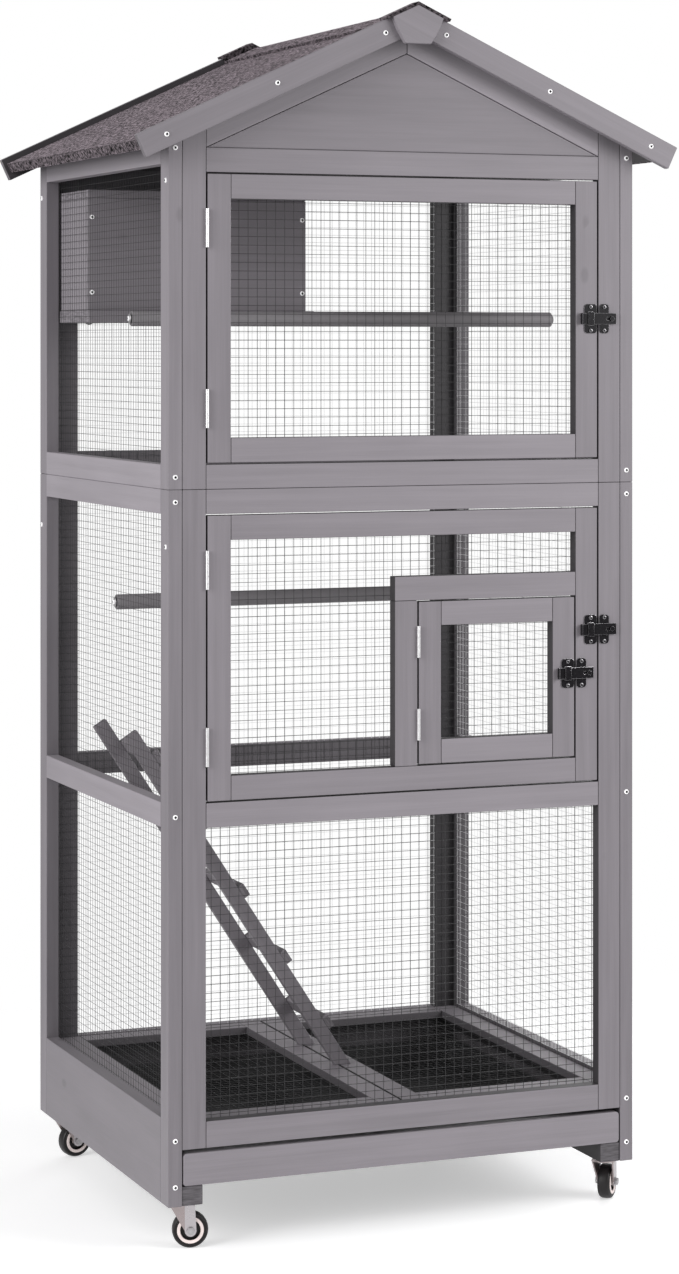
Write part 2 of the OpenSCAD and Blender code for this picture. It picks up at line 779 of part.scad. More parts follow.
module frame_leaf(x, z, len) {
    third = (len - 2 * slide_gap) / 6;
    translate([x, hinge_y, z]) {
        leaf_half(len, [[-len / 2, -third - slide_gap], [third + slide_gap, len / 2]],
            hinge_pin_d + 2 * run_fit);
        translate([0, 0, -len / 2]) cylinder(d = hinge_pin_d, h = len);
    }
}

module door_leaf(x, z, len) {
    third = (len - 2 * slide_gap) / 6;
    translate([x, hinge_y, z]) mirror([1, 0, 0])
        leaf_half(len, [[-third, third]], hinge_pin_d + 2 * run_fit);
}

module stile_hinge_leaves() {
    color(zinc) for (z = concat(upper_hinge_z, lower_hinge_z)) frame_leaf(hinge_x, z, hinge_len);
}

module pass_stile_hinge_leaves() {
    color(zinc) for (z = small_hinge_z) frame_leaf(small_hinge_x, z, small_hinge_len);
}

module upper_door_hinge_leaves() {
    color(zinc) for (z = upper_hinge_z) door_leaf(hinge_x, z, hinge_len);
}

module lower_door_hinge_leaves() {
    color(zinc) for (z = lower_hinge_z) door_leaf(hinge_x, z, hinge_len);
}

module small_door_hinge_leaves() {
    color(zinc) for (z = small_hinge_z) door_leaf(small_hinge_x, z, small_hinge_len);
}

// Latch pieces: the origin is the middle of the gap on the face of the door, and Z stands out of the face
module latch_place(x, z) {
    translate([x, -hd, z]) rotate([90, 0, 0]) children();
}

module latch_screws(x) {
    for (y = [-screw_row, screw_row]) translate([x, y, latch_t + joint_gap]) mirror([0, 0, 1])
        screw(small_screw_len, small_head_d);
}

module latch_plate(x0, w) {
    difference() {
        translate([x0, -latch_h / 2, 0]) cube([w, latch_h, latch_t]);
        for (y = [-screw_row, screw_row]) translate([x0 + w / 2, y, -past])
            cylinder(d = screw_d + 2 * run_fit, h = latch_t + 2 * past);
    }
}

module guide() {
    x0 = -latch_edge - latch_plate_w / 2 - guide_len / 2;
    reach = strap_w / 2 + slide_gap;
    height = strap_y[1] + slide_gap;
    latch_plate(-latch_edge - latch_plate_w, latch_plate_w);
    for (s = [-1, 1]) translate([x0, s * (reach + guide_t / 2) - guide_t / 2, latch_t])
        cube([guide_len, guide_t, height - latch_t]);
    translate([x0, -reach - guide_t, height]) cube([guide_len, 2 * (reach + guide_t), guide_t]);
    latch_screws(-latch_edge - latch_plate_w / 2);
}

module keeper() {
    tongue = stud_x + stud_head_d / 2 + 2 * latch_margin;
    latch_plate(latch_edge, keeper_w);
    translate([latch_edge, -strap_w / 2, 0]) cube([tongue - latch_edge, strap_w, latch_t]);
    translate([stud_x, 0, 0]) cylinder(d = stud_d, h = stud_top + stud_head_t);
    translate([stud_x, 0, stud_top]) cylinder(d = stud_head_d, h = stud_head_t);
    latch_screws(latch_edge + keeper_w / 2);
}

// The strap lifts over the stud at rest, and locks under its head when it slides to the right
module strap() {
    slot_d = stud_d + 2 * slide_gap;
    hole_d = stud_head_d + 4 * slide_gap;
    difference() {
        translate([-strap_left, -strap_w / 2, strap_y[0]]) cube([strap_left + strap_right, strap_w, latch_t]);
        translate([stud_x, 0, 0]) cylinder(d = hole_d, h = strap_y[1] + past);
        translate([stud_x - latch_travel, 0, 0]) cylinder(d = slot_d, h = strap_y[1] + past);
        translate([stud_x - latch_travel, -slot_d / 2, 0]) cube([latch_travel, slot_d, strap_y[1] + past]);
    }
    translate([-strap_left, -strap_w / 2, strap_y[0]]) cube([latch_t, strap_w, tab_h]);
}

module upper_latch_guide() { color(black) latch_place(latch_x, latch_z[0]) guide(); }
module lower_latch_guide() { color(black) latch_place(latch_x, latch_z[1]) guide(); }
module small_latch_guide() { color(black) latch_place(small_latch_x, latch_z[2]) guide(); }
module upper_latch_bolt() { color(black) latch_place(latch_x, latch_z[0]) strap(); }
module lower_latch_bolt() { color(black) latch_place(latch_x, latch_z[1]) strap(); }
module small_latch_bolt() { color(black) latch_place(small_latch_x, latch_z[2]) strap(); }
module small_latch_keeper() { color(black) latch_place(small_latch_x, latch_z[2]) keeper(); }

module frame_latch_keepers() {
    color(black) for (z = [latch_z[0], latch_z[1]]) latch_place(latch_x, z) keeper();
}

// Doors: stiles run the full height, rails butt between them
module door_frame(x, z) {
    for (side = [[x[0], x[0] + rail_w], [x[1] - rail_w, x[1]]])
        timber([side[0], -hd, z[0]], [side[1], -in_y, z[1]]);
    for (rail = [[z[0], z[0] + rail_w], [z[1] - rail_w, z[1]]])
        timber([x[0] + rail_w + joint_gap, -hd, rail[0]], [x[1] - rail_w - joint_gap, -in_y, rail[1]]);
}

module door_sheet(x, z) {
    wall_sheet([x[0] + rail_w, x[1] - rail_w], [z[0] + rail_w, z[1] - rail_w], -mesh_y, mesh_lap);
}

module upper_door_frame() { color(wood) door_frame([-door_x, door_x], upper_door_z); }
module upper_door_mesh() { color(mesh_grey) door_sheet([-door_x, door_x], upper_door_z); }
module small_door_frame() { color(wood) door_frame(small_door_x, small_door_z); }
module small_door_mesh() { color(mesh_grey) door_sheet(small_door_x, small_door_z); }

// The lower door's cross rail runs over the stile of the small doorway
module lower_door_frame() {
    stile_x = pass_x[0] - rail_w;
    color(wood) {
        door_frame([-door_x, door_x], lower_door_z);
        timber([stile_x, -hd, pass_z[0] + joint_gap], [pass_x[0], -in_y, pass_z[1] - joint_gap]);
        timber([stile_x, -hd, pass_z[1]], [pass_x[1] - joint_gap, -in_y, pass_z[1] + rail_w]);
    }
}

// Half way between the two wires on either side of a place in a sheet
function between_wires(at, sheet, pitch) =
    let (w = sheet[1] - sheet[0], first = middle(sheet) - floor(w / pitch) * pitch / 2)
    first + (floor((at - first) / pitch) + 0.5) * pitch;

// The lower door's mesh is cut between two wires: a wide piece on top, and one beside the small doorway
module lower_door_mesh() {
    x = [-door_x + rail_w, pass_x[1]];
    z = [lower_door_z[0] + rail_w, lower_door_z[1] - rail_w];
    sheet_x = [x[0] - mesh_lap, x[1] + mesh_lap];
    sheet_z = [z[0] - mesh_lap, z[1] + mesh_lap];
    cut_x = between_wires(pass_x[0] - rail_w + mesh_lap, sheet_x, wire_pitch_x);
    cut_z = between_wires(pass_z[1] + rail_w - mesh_lap, sheet_z, wire_pitch_z);
    lower = [[sheet_x[0], sheet_z[0]], [cut_x, cut_z - joint_gap / 2]];
    upper = [[sheet_x[0], cut_z + joint_gap / 2], [sheet_x[1], sheet_z[1]]];
    color(mesh_grey) for (part = [lower, upper]) intersection() {
        wall_sheet(x, z, -mesh_y, mesh_lap);
        timber([part[0][0], -in_y, part[0][1]], [part[1][0], -mesh_y, part[1][1]]);
    }
}

// Pull-out tray: the pan is a base sheet with four strips joined on along its edges
module tray_pan() {
    half = frame_x - tray_side_gap;
    y = [-in_y, in_y - tray_back_gap];
    low = tray_front_z + tray_t + joint_gap;
    high = tray_front_z + tray_wall_h;
    run = half - tray_t - joint_gap;
    color(black) {
        timber([-half, y[0], tray_front_z], [half, y[1], tray_front_z + tray_t]);
        both_sides() timber([half - tray_t, y[0], low], [half, y[1], high]);
        timber([-run, y[0], low], [run, y[0] + tray_t, high]);
        timber([-run, y[1] - tray_t, low], [run, y[1], high]);
    }
}

module tray_front() {
    half = in_x - tray_end_gap;
    r = tray_corner_r;
    color(wood) along_y(-hd, -in_y) translate([0, tray_front_z]) {
        translate([-half + r, 0]) square([2 * (half - r), tray_front_h]);
        translate([-half, r]) square([2 * half, tray_front_h - 2 * r]);
        for (x = [-half + r, half - r], z = [r, tray_front_h - r]) translate([x, z]) circle(r = r);
    }
}

// Casters
module caster_at(i) {
    side = caster_sides[i];
    translate([side[0] * swivel[0], side[1] * swivel[1], 0]) children();
}

module caster_plates() {
    color(zinc) for (i = [0 : 3]) caster_at(i) {
        difference() {
            translate([-plate_w / 2, -plate_len / 2, plate_z]) cube([plate_w, plate_len, plate_t]);
            for (at = caster_screw_spots) translate([at[0], at[1], plate_z - past])
                cylinder(d = screw_d + 2 * run_fit, h = plate_t + 2 * past);
        }
        translate([0, 0, race_z]) cylinder(d = race_d, h = race_h);
        translate([0, 0, crown_z - slide_gap]) cylinder(d = king_d, h = race_z - crown_z + slide_gap);
        translate([0, 0, crown_z - slide_gap - plate_t]) cylinder(d = king_head_d, h = plate_t);
    }
}

module caster_screws() {
    color(zinc) for (i = [0 : 3]) caster_at(i)
        for (at = caster_screw_spots) translate([at[0], at[1], plate_z - joint_gap])
            screw(small_screw_len, small_head_d);
}

module fork(i) {
    axle_z = wheel_d / 2;
    boss = fork_boss / 2;
    axle_len = 2 * (fork_gap + plate_t + joint_gap);
    top = crown_z + plate_t;
    color(zinc) caster_at(i) rotate([0, 0, caster_turn[i]]) {
        difference() {
            union() {
                translate([0, 0, crown_z]) cylinder(d = crown_d, h = plate_t);
                translate([0, -fork_gap, crown_z]) cube([fork_front, 2 * fork_gap, plate_t]);
                for (y = [-fork_gap - plate_t, fork_gap]) along_y(y, y + plate_t) {
                    polygon([[-fork_back, top], [fork_front, top], [caster_trail + boss, axle_z],
                        [caster_trail - boss, axle_z]]);
                    translate([caster_trail, axle_z]) circle(r = boss);
                }
            }
            translate([0, 0, crown_z - past]) cylinder(d = king_d + 2 * run_fit, h = plate_t + 2 * past);
            translate([caster_trail, fork_gap + 2 * plate_t, axle_z]) rotate([90, 0, 0])
                cylinder(d = axle_d + 2 * run_fit, h = 2 * fork_gap + 4 * plate_t);
        }
        translate([caster_trail, axle_len / 2, axle_z]) rotate([90, 0, 0]) {
            cylinder(d = axle_d, h = axle_len);
            for (z = [-nut_h, axle_len]) translate([0, 0, z]) cylinder(d = nut_d, h = nut_h, $fn = 6);
        }
    }
}

// A cream hub in a black tyre with rounded shoulders
module wheel(i) {
    r = wheel_d / 2;
    round = tyre_round;
    caster_at(i) rotate([0, 0, caster_turn[i]]) translate([caster_trail, 0, r]) rotate([90, 0, 0]) {
        color(black) rotate_extrude() difference() {
            union() {
                translate([hub_d / 2, -tyre_w / 2]) square([r - round - hub_d / 2, tyre_w]);
                translate([hub_d / 2, -tyre_w / 2 + round]) square([r - hub_d / 2, tyre_w - 2 * round]);
                for (y = [-1, 1]) translate([r - round, y * (tyre_w / 2 - round)]) circle(r = round);
            }
            translate([-r, -tyre_w]) square([r + hub_d / 2, 2 * tyre_w]);
        }
        color(cream) difference() {
            union() {
                translate([0, 0, -tyre_w / 2]) cylinder(d = hub_d - 2 * joint_gap, h = tyre_w);
                translate([0, 0, -hub_w / 2]) cylinder(d = hub_boss_d, h = hub_w);
            }
            translate([0, 0, -hub_w]) cylinder(d = axle_d + 2 * run_fit, h = 2 * hub_w);
        }
    }
}

module front_left_fork() { fork(0); }
module front_right_fork() { fork(1); }
module back_left_fork() { fork(2); }
module back_right_fork() { fork(3); }
module front_left_wheel() { wheel(0); }
module front_right_wheel() { wheel(1); }
module back_left_wheel() { wheel(2); }
module back_right_wheel() { wheel(3); }

lower_left_panel();
lower_right_panel();
lower_front_frame();
lower_back_panel();
upper_left_panel();
upper_right_panel();
upper_front_frame();
upper_back_panel();
gables();
roof_panels();
roof_felt();
ridge_cap();
barge_boards();
apex_plates();
side_meshes();
back_meshes();
lower_front_mesh();
floor_frames();
floor_meshes();
base_bearers();
nest_box_walls();
nest_box_front();
nest_box_shelf();
nest_box_lid();
perches();
ladder_stringers();
ladder_rungs();
frame_screws();
inner_fixings();
stile_hinge_leaves();
frame_latch_keepers();
caster_plates();
caster_screws();
upper_door_frame();
upper_door_mesh();
upper_door_hinge_leaves();
upper_latch_guide();
upper_latch_bolt();
lower_door_frame();
lower_door_mesh();
lower_door_hinge_leaves();
lower_latch_guide();
lower_latch_bolt();
pass_stile_hinge_leaves();
small_latch_keeper();
small_door_frame();
small_door_mesh();
small_door_hinge_leaves();
small_latch_guide();
small_latch_bolt();
tray_pan();
tray_front();
front_left_fork();
front_right_fork();
back_left_fork();
back_right_fork();
front_left_wheel();
front_right_wheel();
back_left_wheel();
back_right_wheel();
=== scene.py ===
# %% [markdown]
# The cage is a timber aviary in two stacked sections, with a felted gable roof,
# wire walls and doors.
# Its solids come packed, in metres, and every piece made here is laid over them.

# %% Load the cage
import json
import random
from math import pi, radians

import bmesh
import bpy
from mathutils import Matrix, Vector


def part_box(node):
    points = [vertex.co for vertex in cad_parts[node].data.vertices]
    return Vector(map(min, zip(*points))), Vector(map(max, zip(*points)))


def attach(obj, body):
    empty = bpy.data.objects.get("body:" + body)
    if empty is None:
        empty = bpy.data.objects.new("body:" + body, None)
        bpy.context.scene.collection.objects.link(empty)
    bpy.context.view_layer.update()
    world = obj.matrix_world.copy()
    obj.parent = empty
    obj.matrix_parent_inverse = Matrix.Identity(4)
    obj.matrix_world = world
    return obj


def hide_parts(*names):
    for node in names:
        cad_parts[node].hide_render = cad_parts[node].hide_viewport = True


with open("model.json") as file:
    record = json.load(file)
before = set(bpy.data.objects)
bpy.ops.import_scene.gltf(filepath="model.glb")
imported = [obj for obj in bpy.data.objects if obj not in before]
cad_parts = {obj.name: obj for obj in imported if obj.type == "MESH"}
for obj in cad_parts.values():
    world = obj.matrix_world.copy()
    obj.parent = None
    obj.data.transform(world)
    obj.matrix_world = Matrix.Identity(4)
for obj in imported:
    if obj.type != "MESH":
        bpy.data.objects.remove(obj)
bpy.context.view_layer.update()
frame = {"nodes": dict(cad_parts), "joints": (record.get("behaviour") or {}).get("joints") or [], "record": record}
record = frame["record"]
bodies = record["behaviour"]["bodies"]
body_of = {node: body for body, nodes in bodies.items() for node in nodes}
slot_of = {part["node"]: part["material_slot"] for part in record["subparts"]}
MM = 0.001
SEED = 7
draw = random.Random(SEED)

# %% [markdown]
# The photograph looks at the cage from its left front, a little below the eaves.
# Its upright lines stay upright, which a shifted lens does: the camera stays level,
# and the picture is moved down on the sensor.
# Focal length and centre are in pixels of the photograph, and turn into lens and shift here.

# %% Camera
PHOTO_W, PHOTO_H = 679, 1274
FOCAL_PX = 3367
CENTRE_PX = (470.5, 343.5)
SENSOR = 36
EYE = (-1.7555, -4.6978, 1.2423)
LEVEL_TILT, EYE_TURN = radians(90), radians(-22.93)

lens = bpy.data.cameras.new("camera")
lens.sensor_width = SENSOR
lens.lens = SENSOR * FOCAL_PX / PHOTO_H
lens.shift_x = (PHOTO_W / 2 - CENTRE_PX[0]) / PHOTO_H
lens.shift_y = (CENTRE_PX[1] - PHOTO_H / 2) / PHOTO_H
camera = bpy.data.objects.new("camera", lens)
camera.location = EYE
camera.rotation_euler = (LEVEL_TILT, 0, EYE_TURN)
scene = bpy.context.scene
scene.collection.objects.link(camera)
scene.camera = camera
shift = round(lens.shift_x, 4), round(lens.shift_y, 4)
print("camera lens", round(lens.lens, 2), "mm, shift", *shift)

# %% [markdown]
# A product shot on white has a bright sheet behind it, soft light from all round,
# and one big lamp to one side.
# Here the left side is lighter than the front, so the lamp hangs far out on the left
# and is as large as a window.
# A small lamp close by on the right lifts that end of the front,
# and one behind keeps the back from going dark.
# The sheet that is seen is brighter than the light that it throws,
# or it would wash out the difference.

# %% Light
WHITE = (1, 1, 1, 1)
ROOM_LIGHT = 0.4
PAPER_WHITE = 1.0
# Each lamp has a place, an aim, a size in metres and a power in watts.
LAMPS = {
    "window_lamp": ((-4.6, -1.7, 2.4), (0, 0, 1.0), 3.2, 215),
    "front_lamp": ((2.0, -2.2, 1.7), (0.25, -0.3, 0.9), 1.6, 53),
    "back_lamp": ((3.2, 4.0, 1.0), (0, 0, 0.9), 1.8, 60),
}
scene.view_settings.view_transform = "Standard"

world = bpy.data.worlds.new("studio")
scene.world = world
world.use_nodes = True
studio = world.node_tree
room = studio.nodes["Background"]
paper = studio.nodes.new("ShaderNodeBackground")
for sheet, strength in ((room, ROOM_LIGHT), (paper, PAPER_WHITE)):
    sheet.inputs["Color"].default_value = WHITE
    sheet.inputs["Strength"].default_value = strength
ray = studio.nodes.new("ShaderNodeLightPath")
seen = studio.nodes.new("ShaderNodeMixShader")
studio.links.new(ray.outputs["Is Camera Ray"], seen.inputs[0])
studio.links.new(room.outputs[0], seen.inputs[1])
studio.links.new(paper.outputs[0], seen.inputs[2])
studio.links.new(seen.outputs[0], studio.nodes["World Output"].inputs["Surface"])

for name, (place, aim, size, power) in LAMPS.items():
    lamp = bpy.data.lights.new(name, "AREA")
    lamp.shape = "SQUARE"
    lamp.size = size
    lamp.energy = power
    holder = bpy.data.objects.new(name, lamp)
    holder.location = place
    holder.rotation_euler = (Vector(aim) - Vector(place)).to_track_quat("-Z", "Y").to_euler()
    scene.collection.objects.link(holder)

# %% [markdown]
# A finish is a small network of shader nodes, and sums are easier to read than links.
# This class wraps one output of a node: arithmetic on it adds Math nodes,
# and node() adds any other kind.
# Settings such as an operation are set first, then the inputs are filled or linked.
# A noise lies about one half, so swing() moves a value up and down by it.

# %% Shader sums
NOISE_MIDDLE = 0.5
SOFT_NOISE, FINE_NOISE, FINEST_NOISE = 2.0, 3.0, 4.0


class Sock:
    def __init__(self, tree, socket):
        self.tree = tree
        self.socket = socket

    def node(self, kind, settings, inputs, out=0):
        made = self.tree.nodes.new(kind)
        for name, value in settings.items():
            setattr(made, name, value)
        for name, value in inputs.items():
            if isinstance(value, Sock):
                self.tree.links.new(value.socket, made.inputs[name])
            else:
                made.inputs[name].default_value = value
        return Sock(self.tree, made.outputs[out])

    def maths(self, operation, first, second):
        return self.node("ShaderNodeMath", {"operation": operation}, {0: first, 1: second})

    def __add__(self, other):
        return self.maths("ADD", self, other)

    def __sub__(self, other):
        return self.maths("SUBTRACT", self, other)

    def __rsub__(self, other):
        return self.maths("SUBTRACT", other, self)

    def __mul__(self, other):
        return self.maths("MULTIPLY", self, other)

    __radd__ = __add__
    __rmul__ = __mul__

    def swing(self, depth):
        return (self - NOISE_MIDDLE) * depth

    def above(self, limit):
        return self.maths("GREATER_THAN", self, limit)

    def fade(self, start, end):
        limits = {"Value": self, "From Min": start, "From Max": end}
        return self.node("ShaderNodeMapRange", {"interpolation_type": "SMOOTHSTEP"}, limits)

    def first_channel(self):
        return self.node("ShaderNodeSeparateColor", {}, {"Color": self})

    def tint(self, colour):
        inputs = {0: colour, "Scale": self}
        return self.node("ShaderNodeVectorMath", {"operation": "SCALE"}, inputs)

    def length(self):
        return self.node("ShaderNodeVectorMath", {"operation": "LENGTH"}, {0: self}, "Value")

    def stretched(self, factors):
        inputs = {0: self, 1: factors}
        return self.node("ShaderNodeVectorMath", {"operation": "MULTIPLY"}, inputs)

    def noise(self, scale=1.0, detail=SOFT_NOISE):
        inputs = {"Vector": self, "Scale": scale, "Detail": detail}
        return self.node("ShaderNodeTexNoise", {}, inputs)

    def cells(self, scale, out):
        return self.node("ShaderNodeTexVoronoi", {}, {"Vector": self, "Scale": scale}, out)

    def bump(self, strength, distance):
        inputs = {"Height": self, "Strength": strength, "Distance": distance}
        return self.node("ShaderNodeBump", {}, inputs)


class Finish:
    def __init__(self, name, **constants):
        self.material = bpy.data.materials.new(name)
        self.material.use_nodes = True
        self.tree = self.material.node_tree
        self.shader = self.tree.nodes["Principled BSDF"]
        for socket, value in constants.items():
            self.shader.inputs[socket.replace("_", " ")].default_value = value
        self.start = Sock(self.tree, None)

    def attribute(self, name, out="Fac"):
        return self.start.node("ShaderNodeAttribute", {"attribute_name": name}, {}, out)

    def coords(self):
        return self.start.node("ShaderNodeTexCoord", {}, {}, "Object")

    def feed(self, **links):
        for socket, value in links.items():
            self.tree.links.new(value.socket, self.shader.inputs[socket.replace("_", " ")])
        return self.material


print("shader sums ready")

# %% [markdown]
# The framing is softwood in a thin grey-lilac stain.
# The grain still shows as long faint streaks, with a knot now and then.
# Each board carries its own grain direction as an attribute,
# so that streaks run along it whichever way it lies: a noise is squeezed across the grain.
# Other attributes mark sawn ends and worn corners, and one holds painted shade:
# faces where shade falls are painted darker, and a few lit ones lighter.

# %% Stained timber
STAIN = (0.238, 0.219, 0.24)
CHARCOAL = (0.2, 0.19, 0.2)
STREAKS, FIBRES, CLOUDS = (3, 110, 110), (14, 800, 800), (6, 22, 22)
SAW_MARKS, KNOTS = (1, 60, 420), (13, 24, 24)
KNOT_HEART, KNOT_RIM, KNOT_CHANCE = 0.08, 0.2, 0.9
STREAK_DEPTH, FIBRE_DEPTH, CLOUD_DEPTH, KNOT_DEPTH = 0.32, 0.14, 0.2, 0.16
END_DARK, SAW_DEPTH, WORN_LIGHT = 0.25, 1.2, 0.16
# how dark a face with full painted shade is painted
PAINTED_SHADE_TONE = 0.5
TIMBER_GLOSS, TIMBER_ROUGH, TIMBER_ROUGH_DEPTH = 0.35, 0.52, 0.2
STREAK_HEIGHT, FIBRE_HEIGHT = 0.6, 0.4
GRAIN_BUMP, GRAIN_HEIGHT = 0.25, 0.4 * MM


def timber_finish(name, colour):
    made = Finish(name, Specular_IOR_Level=TIMBER_GLOSS)
    grain = made.attribute("grain", "Vector")
    streak = grain.stretched(STREAKS).noise(detail=FINEST_NOISE)
    fibre = grain.stretched(FIBRES).noise()
    cloud = grain.stretched(CLOUDS).noise()
    saw = grain.stretched(SAW_MARKS).noise()
    knots = grain.stretched(KNOTS)
    chosen = knots.cells(1.0, "Color").first_channel().above(KNOT_CHANCE)
    knot = (1 - knots.cells(1.0, "Distance").fade(KNOT_HEART, KNOT_RIM)) * chosen
    light = 1.0 + streak.swing(STREAK_DEPTH) + fibre.swing(FIBRE_DEPTH) + cloud.swing(CLOUD_DEPTH)
    # the tone attribute holds each board's random tone, painted light on level boards and painted shade towards
    # the foot
    light = light + made.attribute("tone") - knot * KNOT_DEPTH
    light = light - made.attribute("end") * (END_DARK + saw.swing(SAW_DEPTH))
    light = light + made.attribute("arris") * WORN_LIGHT
    # painted shade: this attribute darkens faces where shade falls, and below nought it paints light
    light = light * (1 - made.attribute("inside") * (1 - PAINTED_SHADE_TONE))
    height = streak * STREAK_HEIGHT + fibre * FIBRE_HEIGHT
    return made.feed(
        Base_Color=light.tint(colour),
        Roughness=TIMBER_ROUGH + streak.swing(TIMBER_ROUGH_DEPTH),
        Normal=height.bump(GRAIN_BUMP, GRAIN_HEIGHT),
    )


timber = timber_finish("grey_stained_timber", STAIN)
dowel = timber_finish("charcoal_dowel", CHARCOAL)
print("timber finishes:", timber.name, dowel.name)

# %% [markdown]
# Roofing felt is a bitumen sheet with crushed slate pressed into it,
# so its colour is a mix of small chips.
# Cells of about three millimetres give each chip its own brightness,
# and their height gives the surface its bite.
# Cut edges show the black bitumen, which an attribute marks.

# %% Mineral felt
SLATE = (0.236, 0.196, 0.22)
CHIP_SCALE, DUST_SCALE, BLOTCH_SCALE = 320.0, 230.0, 9.0
CHIP_DARKEST, DUST_DEPTH, BLOTCH_DEPTH = 0.32, 6.5, 0.3
BITUMEN_DARK = 0.8
FELT_GLOSS, FELT_ROUGH, CHIP_SMOOTH = 0.2, 0.95, 0.2
CHIP_BUMP, CHIP_HEIGHT = 0.8, 1.4 * MM

felt_made = Finish("mineral_felt", Specular_IOR_Level=FELT_GLOSS)
felt_place = felt_made.coords()
chip = felt_place.cells(CHIP_SCALE, "Color").first_channel()
dust = felt_place.noise(DUST_SCALE, FINE_NOISE)
blotch = felt_place.noise(BLOTCH_SCALE, FINE_NOISE)
felt_light = CHIP_DARKEST + chip + dust.swing(DUST_DEPTH) + blotch.swing(BLOTCH_DEPTH)
felt_light = felt_light * (1 - felt_made.attribute("end") * BITUMEN_DARK)
felt = felt_made.feed(
    Base_Color=felt_light.tint(SLATE),
    Roughness=FELT_ROUGH - chip * CHIP_SMOOTH,
    Normal=felt_place.cells(CHIP_SCALE, "Distance").bump(CHIP_BUMP, CHIP_HEIGHT),
)
print("felt finish:", felt.name)

# %% [markdown]
# The metal finishes are plain: galvanised wire gone dull, bright zinc on screws and casters,
# with a painted glow on the screws, and black lacquer on latches.
# Even so, no metal is one flat colour, so a little noise moves the colour
# and the roughness of each.
# The plastics and the rubber follow the same recipe, without the metal.
# Each line gives a colour, a roughness, the noise's scale and its depth, and for some a bite:
# the strength of a finer bump.

# %% Metals, plastics and rubber
ROUGH_DEPTH = 0.3
BITE_SCALE, BITE_DEPTH = 6, 0.2 * MM


def mottled_finish(name, colour, rough, scale, depth, bite=0.0, **constants):
    made = Finish(name, **constants)
    spots = made.coords().noise(scale, FINE_NOISE)
    links = {
        "Base_Color": (1.0 + spots.swing(depth)).tint(colour),
        "Roughness": rough + spots.swing(ROUGH_DEPTH),
    }
    if bite:
        links["Normal"] = made.coords().noise(scale * BITE_SCALE).bump(bite, BITE_DEPTH)
    return made.feed(**links)


wire = mottled_finish("dull_galvanised_wire", (0.03, 0.029, 0.031), 0.6, 160, 0.7)
# painted light: the far wires' inner faces are pale, so that they fade into the glare behind them
backlit_far_wire = mottled_finish("far_wire_painted_light", (0.74, 0.74, 0.75), 0.5, 160, 0.3)
# painted shade: the floor wires are painted darker than the other wires
shaded_floor_wire = mottled_finish("floor_wire_painted_shade", (0.02, 0.019, 0.02), 0.6, 160, 0.7)
zinc = mottled_finish("bright_zinc", (0.86, 0.85, 0.86), 0.34, 240, 0.3, 0.1, Metallic=0.6)
# painted glow: the screw zinc emits a little light of its own, so the heads read white even in shade
glowing_screw_zinc = mottled_finish("screw_zinc_painted_glow", (0.95, 0.94, 0.95), 0.3, 240, 0.1,
                            Metallic=0.1, Emission_Color=WHITE, Emission_Strength=0.2)
dull_zinc = mottled_finish("dull_zinc", (0.42, 0.41, 0.42), 0.45, 240, 0.5, 0.2, Metallic=0.8)
fork_zinc = mottled_finish("fork_zinc", (0.48, 0.455, 0.47), 0.3, 60, 0.2, Metallic=0.85)
# painted shade for the flared facet of a caster fork
flare_zinc_painted_shade = mottled_finish("flare_zinc_painted_shade", (0.36, 0.31, 0.31), 0.3, 60, 0.2, Metallic=0.85)
black_steel = mottled_finish("blackened_steel", (0.32, 0.31, 0.325), 0.25, 240, 0.5, 0.1,
                             Metallic=0.9)
# painted highlight: a bright steel for the latches' rounded edges
edge_steel_painted_glint = mottled_finish("edge_steel_painted_glint", (0.75, 0.73, 0.76), 0.3, 240, 0.4, Metallic=0.9)
# painted shade for the sunk cross of a screw head
recess_shade = mottled_finish("screw_recess_painted_shade", (0.02, 0.02, 0.021), 0.5, 300, 0.5, Metallic=0.8)
lacquer = mottled_finish("black_lacquer", (0.012, 0.011, 0.013), 0.24, 300, 0.8, 0.1,
                         Specular_IOR_Level=0.1)
pan_plastic = mottled_finish("black_pan_plastic", (0.013, 0.013, 0.014), 0.55, 90, 0.5, 0.3)
rubber = mottled_finish("black_rubber", (0.007, 0.0055, 0.006), 0.45, 200, 0.6, 0.3,
                        Specular_IOR_Level=0.35)
cream = mottled_finish("cream_hub_plastic", (0.78, 0.68, 0.66), 0.45, 120, 0.2)
print("finishes:", len(bpy.data.materials))

# %% [markdown]
# The floor is a plain pale sheet that fades into the white round it,
# so no edge and no horizon show.
# It glows a little, as white paper does under studio light, and only the cage's shade darkens it.

# %% Floor
FLOOR_REACH = 2.0
FADE_FROM, FADE_TO = 0.35 * FLOOR_REACH, 0.9 * FLOOR_REACH
FLOOR_WHITE = (0.8, 0.8, 0.805)
FLOOR_SCALE, FLOOR_DEPTH = 30.0, 0.02
FLOOR_ROUGH, FLOOR_GLOW = 0.6, 0.43

floor_mesh = bmesh.new()
bmesh.ops.create_grid(floor_mesh, x_segments=1, y_segments=1, size=FLOOR_REACH)
floor_data = bpy.data.meshes.new("floor")
floor_mesh.to_mesh(floor_data)
floor_mesh.free()
floor_made = Finish("pale_floor_sheet", Roughness=FLOOR_ROUGH, Emission_Color=WHITE,
                    Emission_Strength=FLOOR_GLOW)
floor_place = floor_made.coords()
floor_light = 1.0 + floor_place.noise(FLOOR_SCALE).swing(FLOOR_DEPTH)
floor_data.materials.append(floor_made.feed(
    Base_Color=floor_light.tint(FLOOR_WHITE),
    Alpha=1 - floor_place.length().fade(FADE_FROM, FADE_TO),
))
floor = bpy.data.objects.new("floor", floor_data)
scene.collection.objects.link(floor)
print("floor laid:", 2 * FLOOR_REACH, "m square")

